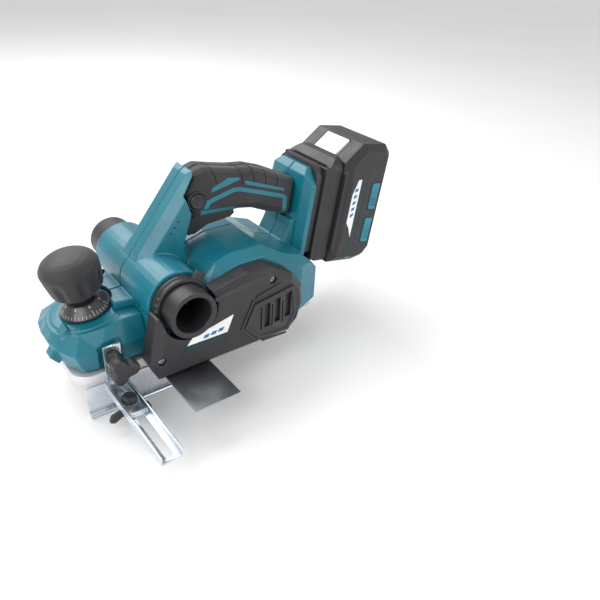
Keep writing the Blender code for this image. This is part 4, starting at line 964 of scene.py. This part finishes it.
PAD_GROOVES = 3
PAD_GROOVE_START = 3.4
PAD_GROOVE_STEP = 2.8
PAD_GROOVE_WIDTH = 1.1
PAD_GROOVE_W = (63.4, 69.2)

PAD_EDGE = 0.3
# Rounded faces: half width, low and high end, top and low corner radius, then the range of w
PACK_FACE = (31.2, -8.5, 92.5, 15, 8, 0, 30)
RAIL_FACE = (28.2, 1.5, 84.2, 13, 5, -1, 14)
FACE_CORNER_STEPS = 8

# Distances out from the pack's middle plane
STEP_Y = (30, 35.2)
RELIEF_Y = (36.2, 39)
STRIP_ROOM_Y = (37.2, 39)
SKIN_Y = (37.35, 37.1)
FOOT_Y = (37.2, 36.0)
MARK_Y = (37.45, 37.2)
PAD_Y = (38.1, 36.6)
PAD_GROOVE_Y = (37.5, 39)


def rounded_face(half, low, high, top_radius, low_radius, w_low, w_high):
    """A block across the pack whose face has rounded corners."""
    corners = [((half - top_radius, high - top_radius), top_radius, 0),
               ((-half + top_radius, high - top_radius), top_radius, pi / 2),
               ((-half + low_radius, low + low_radius), low_radius, pi),
               ((half - low_radius, low + low_radius), low_radius, 3 * pi / 2)]
    outline = []
    for centre, radius, start in corners:
        outline += circle(centre, radius, FACE_CORNER_STEPS, start, pi / 2)
    return loft("face", [[pack_point(w, y, u) for y, u in outline] for w in (w_low, w_high)])


def make_pack_cases():
    upper = cad_copy("pack_front_shell", "battery_upper_case")
    boolean(upper, [rounded_face(*PACK_FACE)], "INTERSECT")
    soften(upper, *SOFT_PACK_FRONT)
    dress(upper, "battery", "black_plastic", nodes=["battery_upper_case"])
    lower = cad_copy("pack_main_case", "battery_lower_case")
    adds, cuts = [], []
    for side, _ in SIDES:
        adds.append(pack_prism("step", PACK_STEP, *mirrored(side, STEP_Y)))
        cuts.append(pack_prism("relief", PACK_RELIEF, *mirrored(side, RELIEF_Y)))
        cuts.append(pack_prism("strip_room", STRIP_ROOM, *mirrored(side, STRIP_ROOM_Y)))
    low, high = RIB_U
    for index in range(RIBS):
        w = RIB_START + RIB_STEP * index
        outline = [(w, low), (w + RIB_WIDTH, low), (w + RIB_WIDTH, high), (w, high)]
        cuts.append(pack_prism("rib_groove", outline, *RIB_Y))
    boolean(lower, adds, "UNION")
    boolean(lower, cuts, "DIFFERENCE")
    soften(lower, *SOFT_PACK_BACK)
    dress(lower, "battery", "black_plastic", nodes=["battery_lower_case"])


def make_pack_films():
    for side, label in SIDES:
        film = pack_prism("pack_label_" + label, PACK_LABEL, *mirrored(side, SKIN_Y))
        dress(film, "battery", "black_plastic", look=LABEL_WHITE, smooth=SHARP_FILM)
        strip = pack_prism("pack_strip_" + label, PACK_STRIP, *mirrored(side, SKIN_Y))
        dress(strip, "battery", "black_plastic", look=LABEL_GREEN, smooth=SHARP_FILM)
        foot = pack_prism("pack_strip_foot_" + label, STRIP_FOOT, *mirrored(side, FOOT_Y))
        dress(foot, "battery", "teal_rubber", smooth=SHARP_FILM)
        for number, u in enumerate(PACK_MARKS, 1):
            outline = [(w, u + rise) for w, rise in PACK_MARK]
            bar = pack_prism("pack_mark_%s_%d" % (label, number), outline, *mirrored(side, MARK_Y))
            dress(bar, "battery", "black_plastic", look=LABEL_BLUE, smooth=SHARP_FILM)


def make_pads():
    edge, shoulder, back = PAD_W
    near, far = PAD_GROOVE_W
    for number, (side, low, high) in enumerate(PADS, 1):
        outline = [(edge, low + PAD_CHAMFER), (shoulder, low), (back, low), (back, high), (shoulder, high),
                   (edge, high - PAD_CHAMFER)]
        pad = pack_prism("pack_pad_%d" % number, outline, *mirrored(side, PAD_Y))
        grooves = []
        for index in range(PAD_GROOVES):
            u = low + PAD_GROOVE_START + index * PAD_GROOVE_STEP
            top = u + PAD_GROOVE_WIDTH
            grooves.append(pack_prism("groove", [(near, u), (far, u), (far, top), (near, top)],
                                      *mirrored(side, PAD_GROOVE_Y)))
        boolean(pad, grooves, "DIFFERENCE")
        bevel(pad, PAD_EDGE)
        dress(pad, "battery", "teal_rubber", nodes=["battery_pad_%d" % number])


def make_battery():
    make_pack_cases()
    make_pack_films()
    make_pads()
    button = soften(cad_copy("release_slide", "release_button"), *SOFT_BUTTON)
    dress(button, "release", "white_plastic", nodes=["release_button"])


# ---------------------------------------------------------------- fence

WING_LOBES = 3
WING_CORE = 7.0
WING_LOBE = 5.3
WING_POINTS = 90
WING_LOBE_SHAPE = 0.9
WING_NECK_ROUND = 0.5
WING_NECK_SEGMENTS = 64
WING_SHANK_SEGMENTS = 32
FENCE_BOLT_ROUND = 0.4
FENCE_BOLT_SEGMENTS = 64
SHEET_EDGE = 0.5
CHANNEL_EDGE = 0.35
SHEET_EDGE_STEPS = 3
PLATE_EDGE = 0.25
# y and inset of each ring through the wing bolt's head
WING_LAYERS = ((-58.0, 1.6), (-58.7, 0.5), (-60.5, 0.0), (-65.5, 0.0), (-67.3, 0.5), (-68.0, 1.8))
WING_NECK_PROFILE = [(0, -59), (6.2, -59), (5.6, -54), (6.0, -46.5), (6.0, -45.1), (0, -45.1)]
WING_SHANK_PROFILE = [(0, -46), (2.9, -46), (2.9, -30), (0, -30)]
FENCE_BOLT_PROFILE = [(0, -18), (3, -18), (3, -2.9), (6, -2.9), (6, -1.6), (5.2, 0.2), (3.4, 1.2), (0, 1.6)]


def bevelled_copy(name, node_name, body, slot, width, segments=2):
    """A CAD node with its hard edges broken."""
    dress(bevel(cad_copy(name, node_name), width, segments), body, slot, nodes=[node_name])


def make_wing_bolt():
    rings = []
    for y, inset in WING_LAYERS:
        ring = []
        for index in range(WING_POINTS):
            angle = 2 * pi * index / WING_POINTS
            size = WING_CORE + WING_LOBE * (0.5 + 0.5 * cos(WING_LOBES * angle)) ** WING_LOBE_SHAPE - inset
            ring.append((ARM_X + size * cos(angle), y, WING_Z + size * sin(angle)))
        rings.append(ring)
    head = loft("hand_bolt_head", rings)
    dress(head, "wing_bolt", "black_plastic", nodes=["fence_wing_bolt"], smooth=SHARP_FITTING)
    place = along_y(ARM_X, WING_Z)
    neck = turned("hand_bolt_neck", rounded(WING_NECK_PROFILE, WING_NECK_ROUND), place, WING_NECK_SEGMENTS)
    dress(neck, "wing_bolt", "black_plastic", smooth=SHARP_FITTING)
    shank = turned("hand_bolt_shank", WING_SHANK_PROFILE, place, WING_SHANK_SEGMENTS)
    dress(shank, "wing_bolt", "brushed_steel", smooth=SHARP_FITTING)


def make_fence():
    bevelled_copy("fence_leaf", "fence_bracket", "machine", "zinc_plate", SHEET_EDGE, SHEET_EDGE_STEPS)
    bevelled_copy("fence_channel", "guide_fence", "fence", "zinc_plate", CHANNEL_EDGE, SHEET_EDGE_STEPS)
    make_wing_bolt()
    nut = soften(cad_copy("wing_nut_body", "fence_wing_nut"), *SOFT_SMALL)
    dress(nut, "wing_nut", "black_plastic", nodes=["fence_wing_nut"])
    bolt = turned("carriage_bolt", rounded(FENCE_BOLT_PROFILE, FENCE_BOLT_ROUND),
                  Matrix.Translation((ARM_X, FENCE_BOLT_Y, 0)), FENCE_BOLT_SEGMENTS)
    dress(bolt, "machine", "black_plastic", nodes=["fence_bolt"], smooth=SHARP_FITTING)
    bevelled_copy("side_guard_plate", "side_plate", "machine", "brushed_steel", PLATE_EDGE)


# ---------------------------------------------------------------- sole and inner parts

CASTING_EDGE = 0.6
COVER_EDGE = 0.5


def make_castings():
    bevelled_copy("rear_sole_casting", "rear_sole", "machine", "aluminium", CASTING_EDGE)
    bevelled_copy("front_shoe_casting", "front_shoe", "shoe", "aluminium", CASTING_EDGE)
    bevelled_copy("drum_end_cover", "drum_side_cover", "machine", "black_plastic", COVER_EDGE)
    mount = cad_copy("battery_slide_rail", "battery_mount")
    boolean(mount, [rounded_face(*RAIL_FACE)], "INTERSECT")
    bevel(mount, COVER_EDGE)
    dress(mount, "machine", "black_plastic", nodes=["battery_mount"])


def dress_cad_nodes():
    """CAD nodes that stay as they are get the looks of their slots."""
    slots = {row["node"]: row["material_slot"] for row in frame["record"]["subparts"]}
    for name, piece in NODES.items():
        if piece.hide_render:
            continue
        piece.data.materials.clear()
        piece.data.materials.append(LOOKS[slots[name]])


make_camera()
make_stage()
make_housings()
make_knob_housing()
make_grips()
make_trigger()
make_belt_cover()
make_outlet()
make_knob()
make_battery()
make_fence()
make_castings()
dress_cad_nodes()
